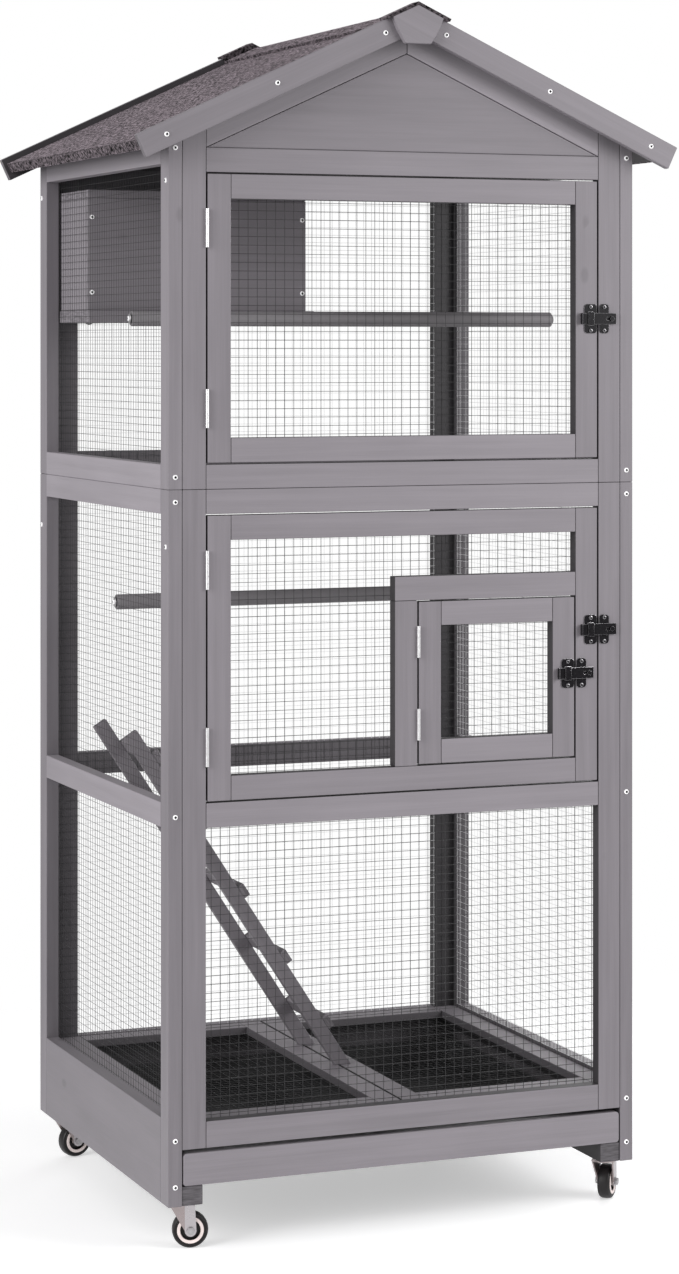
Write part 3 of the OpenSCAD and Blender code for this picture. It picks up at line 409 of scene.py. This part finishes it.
# %% [markdown]
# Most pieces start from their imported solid: a copy is merged, its flat faces are joined,
# and its edges are rounded.
# A real sawn or pressed edge is never knife sharp,
# and the small rounding is what catches the light.
# The helpers here also find the separate solids of a copy and hang the finished piece on its body.

# %% Helpers for pieces
WELD = 0.01 * MM
FLAT = radians(1)
SHARP = radians(30)
CRISP = radians(20)


def clean_copy(node):
    mesh = bmesh.new()
    mesh.from_mesh(frame["nodes"][node].data)
    bmesh.ops.remove_doubles(mesh, verts=mesh.verts, dist=WELD)
    bmesh.ops.dissolve_limit(mesh, angle_limit=FLAT, verts=mesh.verts, edges=mesh.edges)
    return mesh


def sharp_edges(mesh, angle=SHARP):
    folds = [edge for edge in mesh.edges if len(edge.link_faces) == 2]
    return [edge for edge in folds if edge.calc_face_angle(0) > angle]


def bevel(mesh, edges, width, segments):
    made = bmesh.ops.bevel(mesh, geom=edges, offset=width, offset_type="OFFSET", affect="EDGES",
                           segments=segments, profile=0.5, material=-1, clamp_overlap=True)
    return set(made["faces"])


def round_edges(mesh, width, segments=2):
    return bevel(mesh, sharp_edges(mesh), width, segments)


def everything(mesh):
    return mesh.verts[:] + mesh.edges[:] + mesh.faces[:]


def solids(mesh):
    for vert in mesh.verts:
        vert.tag = False
    found = []
    for first in mesh.verts:
        if first.tag:
            continue
        first.tag = True
        group = [first]
        for vert in group:
            for edge in vert.link_edges:
                other = edge.other_vert(vert)
                if not other.tag:
                    other.tag = True
                    group.append(other)
        found.append(group)
    return found


def corners(verts):
    low = Vector(min(v.co[i] for v in verts) for i in range(3))
    high = Vector(max(v.co[i] for v in verts) for i in range(3))
    return low, high


def hang(mesh, name, node, *finishes, smooth=True):
    bmesh.ops.recalc_face_normals(mesh, faces=mesh.faces)
    for face in mesh.faces:
        face.smooth = smooth
    for edge in sharp_edges(mesh, CRISP):
        edge.smooth = False
    data = bpy.data.meshes.new(name)
    mesh.to_mesh(data)
    mesh.free()
    for finish in finishes:
        data.materials.append(finish)
    piece = bpy.data.objects.new(name, data)
    scene.collection.objects.link(piece)
    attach(piece, body_of[node])
    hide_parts(node)


print("helpers ready")

# %% [markdown]
# Each rule here looks at one face and says how much painted shade its stain gets,
# for the light and shade that fall on the cage are painted into its colour.
# Nought is the bare stain, and a number below nought is painted light, a face made lighter than that.
# Faces that look into the cage get painted shade, more so under the roof and along the back.
# Painted shade also darkens the skirt, the ladder, the bearers and the edges of the floor frames.

# %% Painted light and shade on the stain
INNER_SHADE_DEPTH, LOOKS_IN, FACING = 0.8, -0.3, 0.5
ROOF_SHADE_FACTOR = 2
BACK_LEFT, BACK_RAIL, BACK_RIGHT = 1.25, 1.5, 2.1
LEFT_RAFTER, GABLE_BOARD, RIGHT_RAFTER = -0.3, 0.2, -0.8
NEST_SIDE_LIGHT, NEST_FACE_SHADE = -0.15, 0.4
OPENING_EDGE = 1.6
LEFT_WALL, RIGHT_WALL, SIDE_RAIL_LIGHT = 0.7, 1.4, -0.3
SKIRT_SHADE, LADDER_SHADE = 0.3, 0.3
BEARER_END, BEARER_SIDE = 0.9, 1.8
FLOOR_SEAM, FLOOR_TOP, FLOOR_EDGE = 1.8, 0.1, 1.2
# Half-widths and a height that tell one board of a panel from another.
RAIL_MIDDLE = 100 * MM
GABLE_MIDDLE = 50 * MM
SEAM_MIDDLE = 2.5 * MM
SKIRT_TOP = 184 * MM


# painted shade: a face that looks into the cage is painted darker
def inner_shade(face):
    place = face.calc_center_median().to_2d()
    return INNER_SHADE_DEPTH * float(face.normal.to_2d().dot(place) < LOOKS_IN * place.length)


# no painted light or shade on these faces
def no_painted_shade(face):
    return 0.0


# painted shade, deeper under the roof
def under_the_roof(face):
    return ROOF_SHADE_FACTOR * inner_shade(face)


# painted shade along the back, deeper on the right than on the left
def along_the_back(face):
    across = face.calc_center_median().x
    stile = BACK_LEFT if across < 0 else BACK_RIGHT
    return inner_shade(face) * (BACK_RAIL if abs(across) < RAIL_MIDDLE else stile)


# painted light on the rafters under the barge boards, and painted shade on the gable board's face
def under_the_eaves(face):
    across = face.calc_center_median().x
    rafter = RIGHT_RAFTER if across > 0 else LEFT_RAFTER
    return under_the_roof(face) or (GABLE_BOARD if abs(across) < GABLE_MIDDLE else rafter)


# painted light on the nest box's left wall, painted shade on its other faces
def inside_the_cage(face):
    return NEST_SIDE_LIGHT if face.normal.x < -FACING else NEST_FACE_SHADE


# painted shade on the left-facing and level edges round the openings, and on faces that look into the cage
def round_an_opening(face):
    edge = face.normal.x < -FACING or abs(face.normal.z) > FACING
    return OPENING_EDGE if edge else inner_shade(face)


# painted shade on the side walls' inner faces, deeper on the right, and painted light on the side rails
def on_a_side(face):
    place = face.calc_center_median()
    rail = SIDE_RAIL_LIGHT if abs(place.y) < RAIL_MIDDLE else 0.0
    return inner_shade(face) * (LEFT_WALL if place.x < 0 else RIGHT_WALL) or rail


# painted shade on the skirt's faces below the skirt top
def low_down(face):
    shade = on_a_side(face)
    return SKIRT_SHADE if shade <= 0 and face.calc_center_median().z < SKIRT_TOP else shade


# painted shade on the bearers under the cage, deeper on their sides than on their ends
def under_the_floor(face):
    return BEARER_END if abs(face.normal.y) > FACING else BEARER_SIDE


# painted shade on the ladder inside the cage
def shaded_ladder(face):
    return LADDER_SHADE


# painted shade, deep in the seam between the floor frames and on their edges, light on their tops
def shaded_floor_frames(face):
    if abs(face.calc_center_median().x) < SEAM_MIDDLE:
        return FLOOR_SEAM
    return FLOOR_TOP if face.normal.z > FACING else FLOOR_EDGE


SHADES = {
    "nest_box_walls": inside_the_cage,
    "nest_box_front": inside_the_cage,
    "nest_box_shelf": inside_the_cage,
    "nest_box_lid": inside_the_cage,
    "ladder_stringers": shaded_ladder,
    "ladder_rungs": shaded_ladder,
    "barge_boards": under_the_roof,
    "roof_panels": under_the_roof,
    "floor_frames": shaded_floor_frames,
    "tray_front": no_painted_shade,
    "apex_plates": no_painted_shade,
    "base_bearers": under_the_floor,
    "lower_left_panel": low_down,
    "lower_right_panel": low_down,
    "upper_left_panel": on_a_side,
    "upper_right_panel": on_a_side,
    "gables": under_the_eaves,
    "upper_back_panel": along_the_back,
    "lower_back_panel": along_the_back,
    "upper_front_frame": round_an_opening,
    "lower_front_frame": round_an_opening,
    "upper_door_frame": round_an_opening,
    "lower_door_frame": round_an_opening,
    "small_door_frame": round_an_opening,
}
print("shades for", len(SHADES), "nodes")

# %% [markdown]
# Every board is cut from the same planed stock, so one function dresses them all.
# It rounds the corners, finds the board's length from its longest edge,
# and writes the attributes that the stain reads.
# A random shift for each board keeps two boards from showing the same streaks.
# Boards that lie level get painted light, a little lighter than the uprights.
# Painted shade darkens the foot of the cage, a little more the lower a board reaches.

# %% Boards
ARRIS = 1.1 * MM
GRAIN_SHIFT = 50
TONE_SPREAD = 0.05
LEVEL, LEVEL_PAINTED_LIGHT = 0.2, 0.1
ENDWISE = 0.9
FOOT_SHADE = 0.22
FOOT_REACH = 450 * MM


def board_axes(verts):
    edges = {edge.index: edge for vert in verts for edge in vert.link_edges}
    longest = max(edges.values(), key=lambda edge: edge.calc_length())
    length = (longest.verts[1].co - longest.verts[0].co).normalized()
    faces = {face.index: face for vert in verts for face in vert.link_faces}
    widest = max(faces.values(), key=lambda face: face.calc_area())
    side = widest.normal.normalized()
    return length, side.cross(length), side


def mark_grain(mesh, worn, shade):
    grain = mesh.verts.layers.float_vector.new("grain")
    tone = mesh.verts.layers.float.new("tone")
    end = mesh.faces.layers.float.new("end")
    arris = mesh.faces.layers.float.new("arris")
    inside = mesh.faces.layers.float.new("inside")
    mesh.edges.index_update()
    mesh.faces.index_update()
    mesh.normal_update()
    for verts in solids(mesh):
        axes = board_axes(verts)
        shift = Vector(draw.uniform(0, GRAIN_SHIFT) for _ in range(3))
        board_tone = draw.uniform(-TONE_SPREAD, TONE_SPREAD)
        # painted light on boards that lie level
        board_tone += LEVEL_PAINTED_LIGHT * float(abs(axes[0].z) < LEVEL)
        for vert in verts:
            vert[grain] = Vector(axis.dot(vert.co) for axis in axes) + shift
            # painted shade towards the foot of the cage
            vert[tone] = board_tone - FOOT_SHADE * max(0.0, 1 - vert.co.z / FOOT_REACH)
            for face in vert.link_faces:
                face[end] = float(abs(face.normal.dot(axes[0])) > ENDWISE)
    for face in mesh.faces:
        face[arris] = float(face in worn)
        # each face's painted light or shade, from its rule
        face[inside] = shade(face)


boards = [node for node, slot in slot_of.items() if slot == "timber"]
for node in boards:
    board_mesh = clean_copy(node)
    worn = round_edges(board_mesh, ARRIS)
    mark_grain(board_mesh, worn, SHADES.get(node, inner_shade))
    hang(board_mesh, node + "_boards", node, timber, smooth=False)
print("boards dressed:", len(boards))

# %% [markdown]
# The perches are round dowels, charcoal grey, with the sharp ends taken off.
# Their solids already have the right shape, so a copy with rounded ends is enough.

# %% Perches
PERCH_ROUND, PERCH_STEPS = 1.2 * MM, 3

perch_mesh = clean_copy("perches")
mark_grain(perch_mesh, round_edges(perch_mesh, PERCH_ROUND, PERCH_STEPS), no_painted_shade)
hang(perch_mesh, "perch_dowels", "perches", dowel)
print("perches dressed")

# %% [markdown]
# Each imported mesh sheet is a layer of square bars, cut from a plate,
# and stands for a layer of round welded wires.
# The bars are read back from the copy: their edges, sorted across the sheet, come in close pairs,
# and a pair is one wire.
# A six-sided tube is round enough at this size, and it keeps a thousand wires light.
# White light wraps round the wires of the far walls until they all but vanish from inside the cage.
# Those are drawn finer, and on the inside they get a pale finish, painted light for the glare, with the dull grey
# of the other wires outside.
# Where they cross a board there is no light behind them,
# so they are cut at its edges and stay dull over it.

# %% Wires
WIRE_SIDES = 6
WIRE_WIDEST = 1.6 * MM
WIRE_DIGITS = 5
FAR_FINE = 0.6
SIDE_FINE = 0.72
OUTER_SIDE = 0.55
FAR_SIDE = {"back_meshes": Vector((0, 1, 0)), "side_meshes": Vector((1, 0, 0))}
FAR_PANELS = {
    "back_meshes": ("upper_back_panel", "lower_back_panel"),
    "side_meshes": ("upper_right_panel", "lower_right_panel"),
}
TURN_TO = (Matrix.Rotation(pi / 2, 4, "Y"), Matrix.Rotation(pi / 2, 4, "X"), Matrix.Identity(4))


def wire_lines(verts):
    low, high = corners(verts)
    size = high - low
    flat = min(range(3), key=lambda axis: size[axis])
    sides = [axis for axis in range(3) if axis != flat]
    edges = {axis: sorted({round(v.co[axis], WIRE_DIGITS) for v in verts}) for axis in sides}
    across = max(edges, key=lambda axis: len(edges[axis]))
    along = 3 - flat - across
    stops = edges[across]
    for first, second in zip(stops, stops[1:]):
        if second - first < WIRE_WIDEST:
            middle = (low + high) / 2
            middle[across] = (first + second) / 2
            yield middle, along, size[along], (second - first) / 2


def board_boxes(panels):
    boxes = []
    for panel in panels:
        mesh = clean_copy(panel)
        boxes += [corners(verts) for verts in solids(mesh)]
        mesh.free()
    return boxes


def dull_over_boards(mesh, boxes, outward):
    sides = [axis for axis in range(3) if not outward[axis]]
    for corner in (corner for box in boxes for corner in box):
        for axis in sides:
            line = Vector(float(i == axis) for i in range(3))
            bmesh.ops.bisect_plane(mesh, geom=everything(mesh), plane_co=corner, plane_no=line,
                                   dist=WELD)
    for face in mesh.faces:
        place = face.calc_center_median()
        if any(all(low[i] < place[i] < high[i] for i in sides) for low, high in boxes):
            face.material_index = 1


def string_wires(sheets, fine):
    mesh = bmesh.new()
    count = 0
    for verts in sheets:
        for middle, along, length, radius in wire_lines(verts):
            place = Matrix.Translation(middle) @ TURN_TO[along]
            bmesh.ops.create_cone(mesh, cap_ends=True, segments=WIRE_SIDES, radius1=radius * fine,
                                  radius2=radius * fine, depth=length, matrix=place)
            count += 1
    return mesh, count


def string_far_wires(sheets, node):
    mesh, count = string_wires(sheets, FAR_FINE)
    outward = FAR_SIDE[node]
    mesh.normal_update()
    # painted light: faces towards the inside of the cage take the pale finish
    for face in mesh.faces:
        face.material_index = int(face.normal.dot(outward) > OUTER_SIDE)
    dull_over_boards(mesh, board_boxes(FAR_PANELS[node]), outward)
    return mesh, count


wire_count = 0
for node in [name for name, slot in slot_of.items() if slot == "wire"]:
    source = clean_copy(node)
    sheets = solids(source)
    far = [verts for verts in sheets if node in FAR_SIDE and FAR_SIDE[node].dot(verts[0].co) > 0]
    near = [verts for verts in sheets if verts not in far]
    if near:
        near_mesh, strung = string_wires(near, SIDE_FINE if node == "side_meshes" else 1.0)
        hang(near_mesh, node + "_wires", node, shaded_floor_wire if node == "floor_meshes" else wire)
        wire_count += strung
    if far:
        far_mesh, strung = string_far_wires(far, node)
        hang(far_mesh, node + "_far_wires", node, backlit_far_wire, wire)
        wire_count += strung
    source.free()
print("wires strung:", wire_count)

# %% [markdown]
# Pan-head screws with a cross recess hold the frame, the latches and the casters.
# The head starts as a grid whose rim is pushed out to a circle.
# The cross in its middle is pressed in and takes a near-black finish, a painted shade in the recess, and the rim
# is extruded down in three steps.

# %% Screw heads
CROSS_STOPS = (-1.0, -0.78, -0.35, 0.35, 0.78, 1.0)
CROSS_ARM, CROSS_REACH, CROSS_DEPTH = 0.05, 0.5, 0.62
HEAD_TOP, HEAD_DOME = 0.72, 0.25
# Each step of the rim has a share of the radius and a share of the height.
HEAD_STEPS = ((0.93, 0.66), (1.0, 0.3), (1.0, 0.0))


def in_cross(face, radius):
    place = face.calc_center_median().to_2d()
    arm = min(abs(place.x), abs(place.y))
    return arm < CROSS_ARM * radius and place.length < CROSS_REACH * radius


def new_verts(made):
    return [item for item in made["geom"] if isinstance(item, bmesh.types.BMVert)]


def screw_head(radius, height):
    mesh = bmesh.new()
    cells = len(CROSS_STOPS) - 1
    bmesh.ops.create_grid(mesh, x_segments=cells, y_segments=cells, size=1.0)
    for vert in mesh.verts:
        spot = [round((vert.co[axis] + 1) / 2 * cells) for axis in range(2)]
        place = Vector((CROSS_STOPS[spot[0]], CROSS_STOPS[spot[1]], 0))
        on_rim = max(abs(place.x), abs(place.y)) == 1
        reach = (place.normalized() if on_rim else place) * HEAD_TOP
        dome = 1 - HEAD_DOME * reach.length_squared
        vert.co = (reach.x * radius, reach.y * radius, height * dome)
    cross = [face for face in mesh.faces if in_cross(face, radius)]
    pressed = bmesh.ops.extrude_face_region(mesh, geom=cross)
    bmesh.ops.delete(mesh, geom=cross, context="FACES_ONLY")
    sunk = new_verts(pressed)
    bmesh.ops.translate(mesh, verts=sunk, vec=(0, 0, -CROSS_DEPTH * height))
    # painted shade: the sunk faces of the cross take the near-black recess finish
    for face in [face for vert in sunk for face in vert.link_faces]:
        face.material_index = 1
    for grow, level in HEAD_STEPS:
        rim = [edge for edge in mesh.edges if edge.is_boundary]
        for vert in new_verts(bmesh.ops.extrude_edge_only(mesh, edges=rim)):
            flat = vert.co.to_2d().normalized() * radius * grow
            vert.co = (flat.x, flat.y, height * level)
    data = bpy.data.meshes.new("screw_head")
    mesh.to_mesh(data)
    mesh.free()
    return data


print("a screw head has", len(CROSS_STOPS) - 1, "cells each way")

# %% [markdown]
# Each packed screw gives the place, the axis and the head's radius: the vertices furthest
# from its axis are the head's rim, and they lie towards the outer end.
# The shank is a plain tapered peg, because the wood hides it.
# Every screw stops at another turn, so its cross is turned by chance.
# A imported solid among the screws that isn't one is a washer, and that is a spun profile.

# %% Screws and washers
SCREW_SLIM, SCREW_ROUND = 1.6, 1.3
HEAD_RIM, HEAD_DIGITS = 0.95, 6
SHANK_SIDES, SHANK_TIP, SHANK_TOP = 8, 0.15, 0.5
WASHER_HOLE, WASHER_ROUND, WASHER_STEPS = 0.3, 0.94, 24


def off_axis(offset, axis):
    flat = offset.copy()
    flat[axis] = 0
    return flat.length


def screw_pose(verts):
    low, high = corners(verts)
    axis = max(range(3), key=lambda i: (high - low)[i])
    wide = max((high - low)[i] for i in range(3) if i != axis) / 2
    middle = (low + high) / 2
    rim = [v for v in verts if off_axis(v.co - middle, axis) > HEAD_RIM * wide]
    outward = sum(v.co[axis] for v in rim) / len(rim) > middle[axis]
    head = sorted({round(v.co[axis], HEAD_DIGITS) for v in rim})
    seat, top = (head[0], head[-1]) if outward else (head[-1], head[0])
    direction = Vector(float(i == axis) * (1 if outward else -1) for i in range(3))
    place = middle.copy()
    place[axis] = seat
    tip = low[axis] if outward else high[axis]
    return place, direction, wide, abs(top - seat), abs(tip - seat)


def set_screw(mesh, verts, grow=1.0):
    place, direction, radius, height, length = screw_pose(verts)
    head = screw_head(radius * grow, height)
    before = set(mesh.verts)
    mesh.from_mesh(head)
    bpy.data.meshes.remove(head)
    bmesh.ops.create_cone(mesh, cap_ends=True, segments=SHANK_SIDES, radius1=SHANK_TIP * radius,
                          radius2=SHANK_TOP * radius, depth=length,
                          matrix=Matrix.Translation((0, 0, -length / 2)))
    upright = direction.to_track_quat("Z", "Y").to_matrix().to_4x4()
    turn = upright @ Matrix.Rotation(draw.uniform(0, pi), 4, "Z")
    fresh = [vert for vert in mesh.verts if vert not in before]
    bmesh.ops.transform(mesh, matrix=Matrix.Translation(place) @ turn, verts=fresh)


def is_screw(verts):
    low, high = corners(verts)
    size = sorted(high - low)
    return size[2] > SCREW_SLIM * size[1] and size[1] < SCREW_ROUND * size[0]


def spin_profile(mesh, profile, steps):
    ring = [mesh.verts.new((radius, 0, height)) for radius, height in profile]
    loop = [mesh.edges.new((ring[i], ring[(i + 1) % len(ring)])) for i in range(len(ring))]
    bmesh.ops.spin(mesh, geom=ring + loop, cent=(0, 0, 0), axis=(0, 0, 1), angle=2 * pi,
                   steps=steps, use_merge=True)


def washer(mesh, low, high):
    size = high - low
    axis = min(range(3), key=lambda i: size[i])
    radius, half = max(size) / 2, size[axis] / 2
    hole, shoulder = WASHER_HOLE * radius, WASHER_ROUND * radius
    profile = ((hole, -half), (shoulder, -half), (radius, 0), (shoulder, half), (hole, half))
    spin_profile(mesh, profile, WASHER_STEPS)
    place = Matrix.Translation((low + high) / 2) @ TURN_TO[axis]
    bmesh.ops.transform(mesh, matrix=place, verts=[vert for vert in mesh.verts if not vert.tag])
    for vert in mesh.verts:
        vert.tag = True


def set_screws(node):
    source = clean_copy(node)
    heads = bmesh.new()
    washers = bmesh.new()
    count = 0
    for verts in solids(source):
        if is_screw(verts):
            set_screw(heads, verts)
            count += 1
        else:
            washer(washers, *corners(verts))
    source.free()
    hang(heads, node + "_heads", node, glowing_screw_zinc, recess_shade)
    if washers.verts:
        hang(washers, node + "_washers", node, dull_zinc)
    else:
        washers.free()
    return count


screw_nodes = ("frame_screws", "inner_fixings", "caster_screws")
print("screws set:", sum(set_screws(node) for node in screw_nodes))

# %% [markdown]
# Hinges and caster plates are pressed or turned metal, bright with zinc.
# Their solids hold the shapes, so copies with finely rounded edges are enough.

# %% Hinges and caster plates
HINGE_ROUND = 0.15 * MM
PLATE_ROUND = 0.3 * MM

hinges = [node for node, slot in slot_of.items() if slot == "zinc" and "hinge" in node]
metal_round = {node: HINGE_ROUND for node in hinges}
metal_round["caster_plates"] = PLATE_ROUND
for node, width in metal_round.items():
    metal_mesh = clean_copy(node)
    round_edges(metal_mesh, width)
    hang(metal_mesh, node + "_metal", node, zinc)
print("metal pieces:", len(metal_round))

# %% [markdown]
# A latch is a strap that slides through a bridge on one plate and hooks over a stud on another,
# all pressed and blackened.
# The presses leave the plates with round corners, so the upright corners of each solid are rounded
# before the thin edges.
# Along the edges a bright steel is laid over the lacquer as a painted highlight,
# and the screws' pan heads are blackened steel that glints.

# %% Latches
PLATE_CORNER = 5 * MM
STRAP_CORNER = 3 * MM
CORNER_STEPS = 5
GLINT_EDGE = 0.7 * MM
LATCH_HEAD = 1.2
UPRIGHT = 0.99


def outer_corners(verts):
    low, high = corners(verts)
    axis = 2 if high.z - low.z > high.x - low.x else 0
    found = {edge for vert in verts for edge in vert.link_edges}
    for edge in sorted(found, key=lambda e: e.index):
        run = edge.verts[1].co - edge.verts[0].co
        place = edge.verts[0].co[axis]
        outermost = min(place - low[axis], high[axis] - place) < WELD
        if outermost and abs(run.y) > UPRIGHT * run.length:
            yield edge


def dress_latch(node):
    strap = node.endswith("_bolt")
    mesh = clean_copy(node)
    screws = [verts for verts in solids(mesh) if is_screw(verts) and not strap]
    heads = bmesh.new()
    for verts in screws:
        set_screw(heads, verts, LATCH_HEAD)
    bmesh.ops.delete(mesh, geom=[vert for verts in screws for vert in verts], context="VERTS")
    mesh.edges.index_update()
    ends = [edge for verts in solids(mesh) for edge in outer_corners(verts)]
    bevel(mesh, ends, STRAP_CORNER if strap else PLATE_CORNER, CORNER_STEPS)
    # painted highlight: the rounded edges take the bright steel
    for face in round_edges(mesh, GLINT_EDGE):
        face.material_index = 1
    hang(mesh, node + "_plates", node, lacquer, edge_steel_painted_glint)
    if screws:
        hang(heads, node + "_screws", node, black_steel, recess_shade)
    else:
        heads.free()
    return len(screws)


latch_screws = sum(dress_latch(node) for node, slot in slot_of.items() if slot == "latch")
print("latches dressed, with", latch_screws, "screws")

# %% [markdown]
# A caster fork is one bent plate: a crown that turns under the race,
# and two legs that hold the axle.
# The press folds each leg along an upright line beside the axle,
# and the part behind the fold flares out to the crown.
# A plane cuts the copy on that line, and the leg's corners beyond it are pushed
# away from the wheel.
# The flare gets a darker zinc than the flat strip over the axle, a painted shade on that facet,
# and the axle's nuts get a duller zinc than the strip.

# %% Caster forks
LEG_FACE = 250 * MM * MM
LEG_SHEET = 2.1 * MM
LEG_UPRIGHT = 0.1
BOSS_RADIUS = 8 * MM
FLARE = 0.18
FORK_ROUND = 0.3 * MM
spins = {joint["name"]: joint for joint in frame["joints"] if joint["name"].endswith("_wheel_spin")}


def fold_leg(mesh, axle, outward, reach):
    back = Vector((0, 0, 1)).cross(outward)
    extent = [back.dot(vert.co - axle) for vert in mesh.verts]
    if max(extent) < -min(extent):
        back = -back
    bmesh.ops.bisect_plane(mesh, geom=everything(mesh), plane_co=axle + back * BOSS_RADIUS,
                           plane_no=back, dist=WELD)
    for vert in mesh.verts:
        beyond = back.dot(vert.co - axle) - BOSS_RADIUS
        if beyond > 0 and outward.dot(vert.co - axle) > reach - LEG_SHEET:
            vert.co += outward * beyond * FLARE
    # painted shade: the flared faces take the darker zinc
    for face in mesh.faces:
        if back.dot(face.calc_center_median() - axle) > BOSS_RADIUS:
            face.material_index = 1


def dress_fork(node):
    mesh = clean_copy(node)
    axle = Vector(spins[node.replace("_fork", "_wheel_spin")]["pos_m"])
    mesh.normal_update()
    legs = [face for face in mesh.faces
            if abs(face.normal.z) < LEG_UPRIGHT and face.calc_area() > LEG_FACE]
    reaches = [(leg.normal.copy(), leg.normal.dot(leg.calc_center_median() - axle)) for leg in legs]
    outer = [(normal, reach) for normal, reach in reaches if reach > 0]
    for normal, reach in outer:
        fold_leg(mesh, axle, normal, reach)
    for verts in solids(mesh):
        low, high = corners(verts)
        if high.z - low.z < 2 * BOSS_RADIUS:
            for face in {face for vert in verts for face in vert.link_faces}:
                face.material_index = 2
    round_edges(mesh, FORK_ROUND)
    hang(mesh, node + "_metal", node, fork_zinc, flare_zinc_painted_shade, dull_zinc)
    return len(outer)


print("fork legs pressed:", [dress_fork(node) for node in slot_of if node.endswith("_fork")])

# %% [markdown]
# A caster wheel is a rubber tyre moulded round a plastic hub, and both are turned shapes.
# A profile spun round the axle makes each, and its points are radius and height in millimetres.
# The tyre has a groove on both shoulders and a deep dark web inside.
# The pale hub is a ring against the tyre and a boss on the axle.
# The joint in the record gives the axle's place and direction.

# %% Wheels
WHEEL_STEPS = 40


def both_faces(half):
    return half + [(radius, -height) for radius, height in half[::-1]]


TYRE = both_faces([
    (6.4, -3), (13.6, -3), (13.8, -8), (18.6, -8.2), (18.8, -9), (20.6, -9), (21, -8.5),
    (21.7, -8.5), (22.1, -8.9), (23.3, -8.2), (24.2, -7), (24.8, -5), (25, -2),
])
RING = both_faces([
    (13.9, -7.6), (14.1, -9.2), (14.6, -9.5), (17.8, -9.5), (18.3, -9.2), (18.5, -8.3),
])
BOSS = both_faces([(3.1, -10), (5.8, -10), (6.3, -9.6), (6.5, -3)])
WHEEL_PARTS = (("tyre", TYRE, rubber), ("ring", RING, cream), ("boss", BOSS, cream))


def turned(profile, place, axis):
    mesh = bmesh.new()
    spin_profile(mesh, [(radius * MM, height * MM) for radius, height in profile], WHEEL_STEPS)
    bmesh.ops.remove_doubles(mesh, verts=mesh.verts, dist=WELD)
    turn = Vector(axis).to_track_quat("Z", "Y").to_matrix().to_4x4()
    bmesh.ops.transform(mesh, matrix=Matrix.Translation(place) @ turn, verts=mesh.verts)
    return mesh


for name, joint in spins.items():
    node = name.replace("_wheel_spin", "_wheel")
    for part, profile, finish in WHEEL_PARTS:
        hang(turned(profile, joint["pos_m"], joint["axis"]), node + "_" + part, node, finish)
print("wheels turned:", len(spins))

# %% [markdown]
# The felt lies on the boards and laps down over the eaves, and a folded strip caps the ridge.
# Copies of the solids keep that shape.
# The attribute marks the cut edges at the front and back ends.
# The laps over the eaves have lost the most slate, so they are marked too, less strongly.

# %% Felt
FELT_ROUND = 0.8 * MM
FELT_FACING = 0.7
LAP_DARK = 0.7

for node in ("roof_felt", "ridge_cap"):
    felt_mesh = clean_copy(node)
    round_edges(felt_mesh, FELT_ROUND)
    end = felt_mesh.faces.layers.float.new("end")
    felt_mesh.normal_update()
    for face in felt_mesh.faces:
        lap = LAP_DARK * float(abs(face.normal.x) > FELT_FACING)
        face[end] = 1.0 if abs(face.normal.y) > FELT_FACING else lap
    hang(felt_mesh, node + "_sheet", node, felt, smooth=False)
print("felt laid")

# %% [markdown]
# The pull-out tray is a shallow black plastic pan behind a timber front.
# A vacuum-formed pan is one sheet: a box without its top, with round corners,
# a wall of even thickness and a turned-out lip.
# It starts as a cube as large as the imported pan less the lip,
# and the lip is extruded from its open rim.
# The sheet gets its thickness inwards, so that the pan stays clear of what it slides on.

# %% Tray pan
PAN_LIP = 3 * MM
PAN_WALL = 1.2 * MM
PAN_CORNER = 9 * MM
PAN_FOOT = 0.4 * PAN_CORNER
PAN_STEPS = 4
STRAIGHT_UP = 0.9

low, high = (Vector(corner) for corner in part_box("tray_pan"))
high.z -= PAN_WALL
middle = (low + high) / 2
size = high - low - Vector((2 * PAN_LIP, 2 * PAN_LIP, 0))
pan_mesh = bmesh.new()
bmesh.ops.create_cube(pan_mesh, size=1.0, matrix=Matrix.LocRotScale(middle, None, size))
lid = [face for face in pan_mesh.faces if face.normal.z > STRAIGHT_UP]
bmesh.ops.delete(pan_mesh, geom=lid, context="FACES_ONLY")
upright = [edge for edge in sharp_edges(pan_mesh)
           if abs((edge.verts[0].co - edge.verts[1].co).normalized().z) > STRAIGHT_UP]
bevel(pan_mesh, upright, PAN_CORNER, PAN_STEPS)
bevel(pan_mesh, sharp_edges(pan_mesh), PAN_FOOT, PAN_STEPS)
rim = [edge for edge in pan_mesh.edges if edge.is_boundary]
for vert in new_verts(bmesh.ops.extrude_edge_only(pan_mesh, edges=rim)):
    vert.co.x += PAN_LIP if vert.co.x > middle.x else -PAN_LIP
    vert.co.y += PAN_LIP if vert.co.y > middle.y else -PAN_LIP
bmesh.ops.recalc_face_normals(pan_mesh, faces=pan_mesh.faces)
bmesh.ops.solidify(pan_mesh, geom=pan_mesh.faces, thickness=-PAN_WALL)
hang(pan_mesh, "tray_pan_moulding", "tray_pan", pan_plastic)
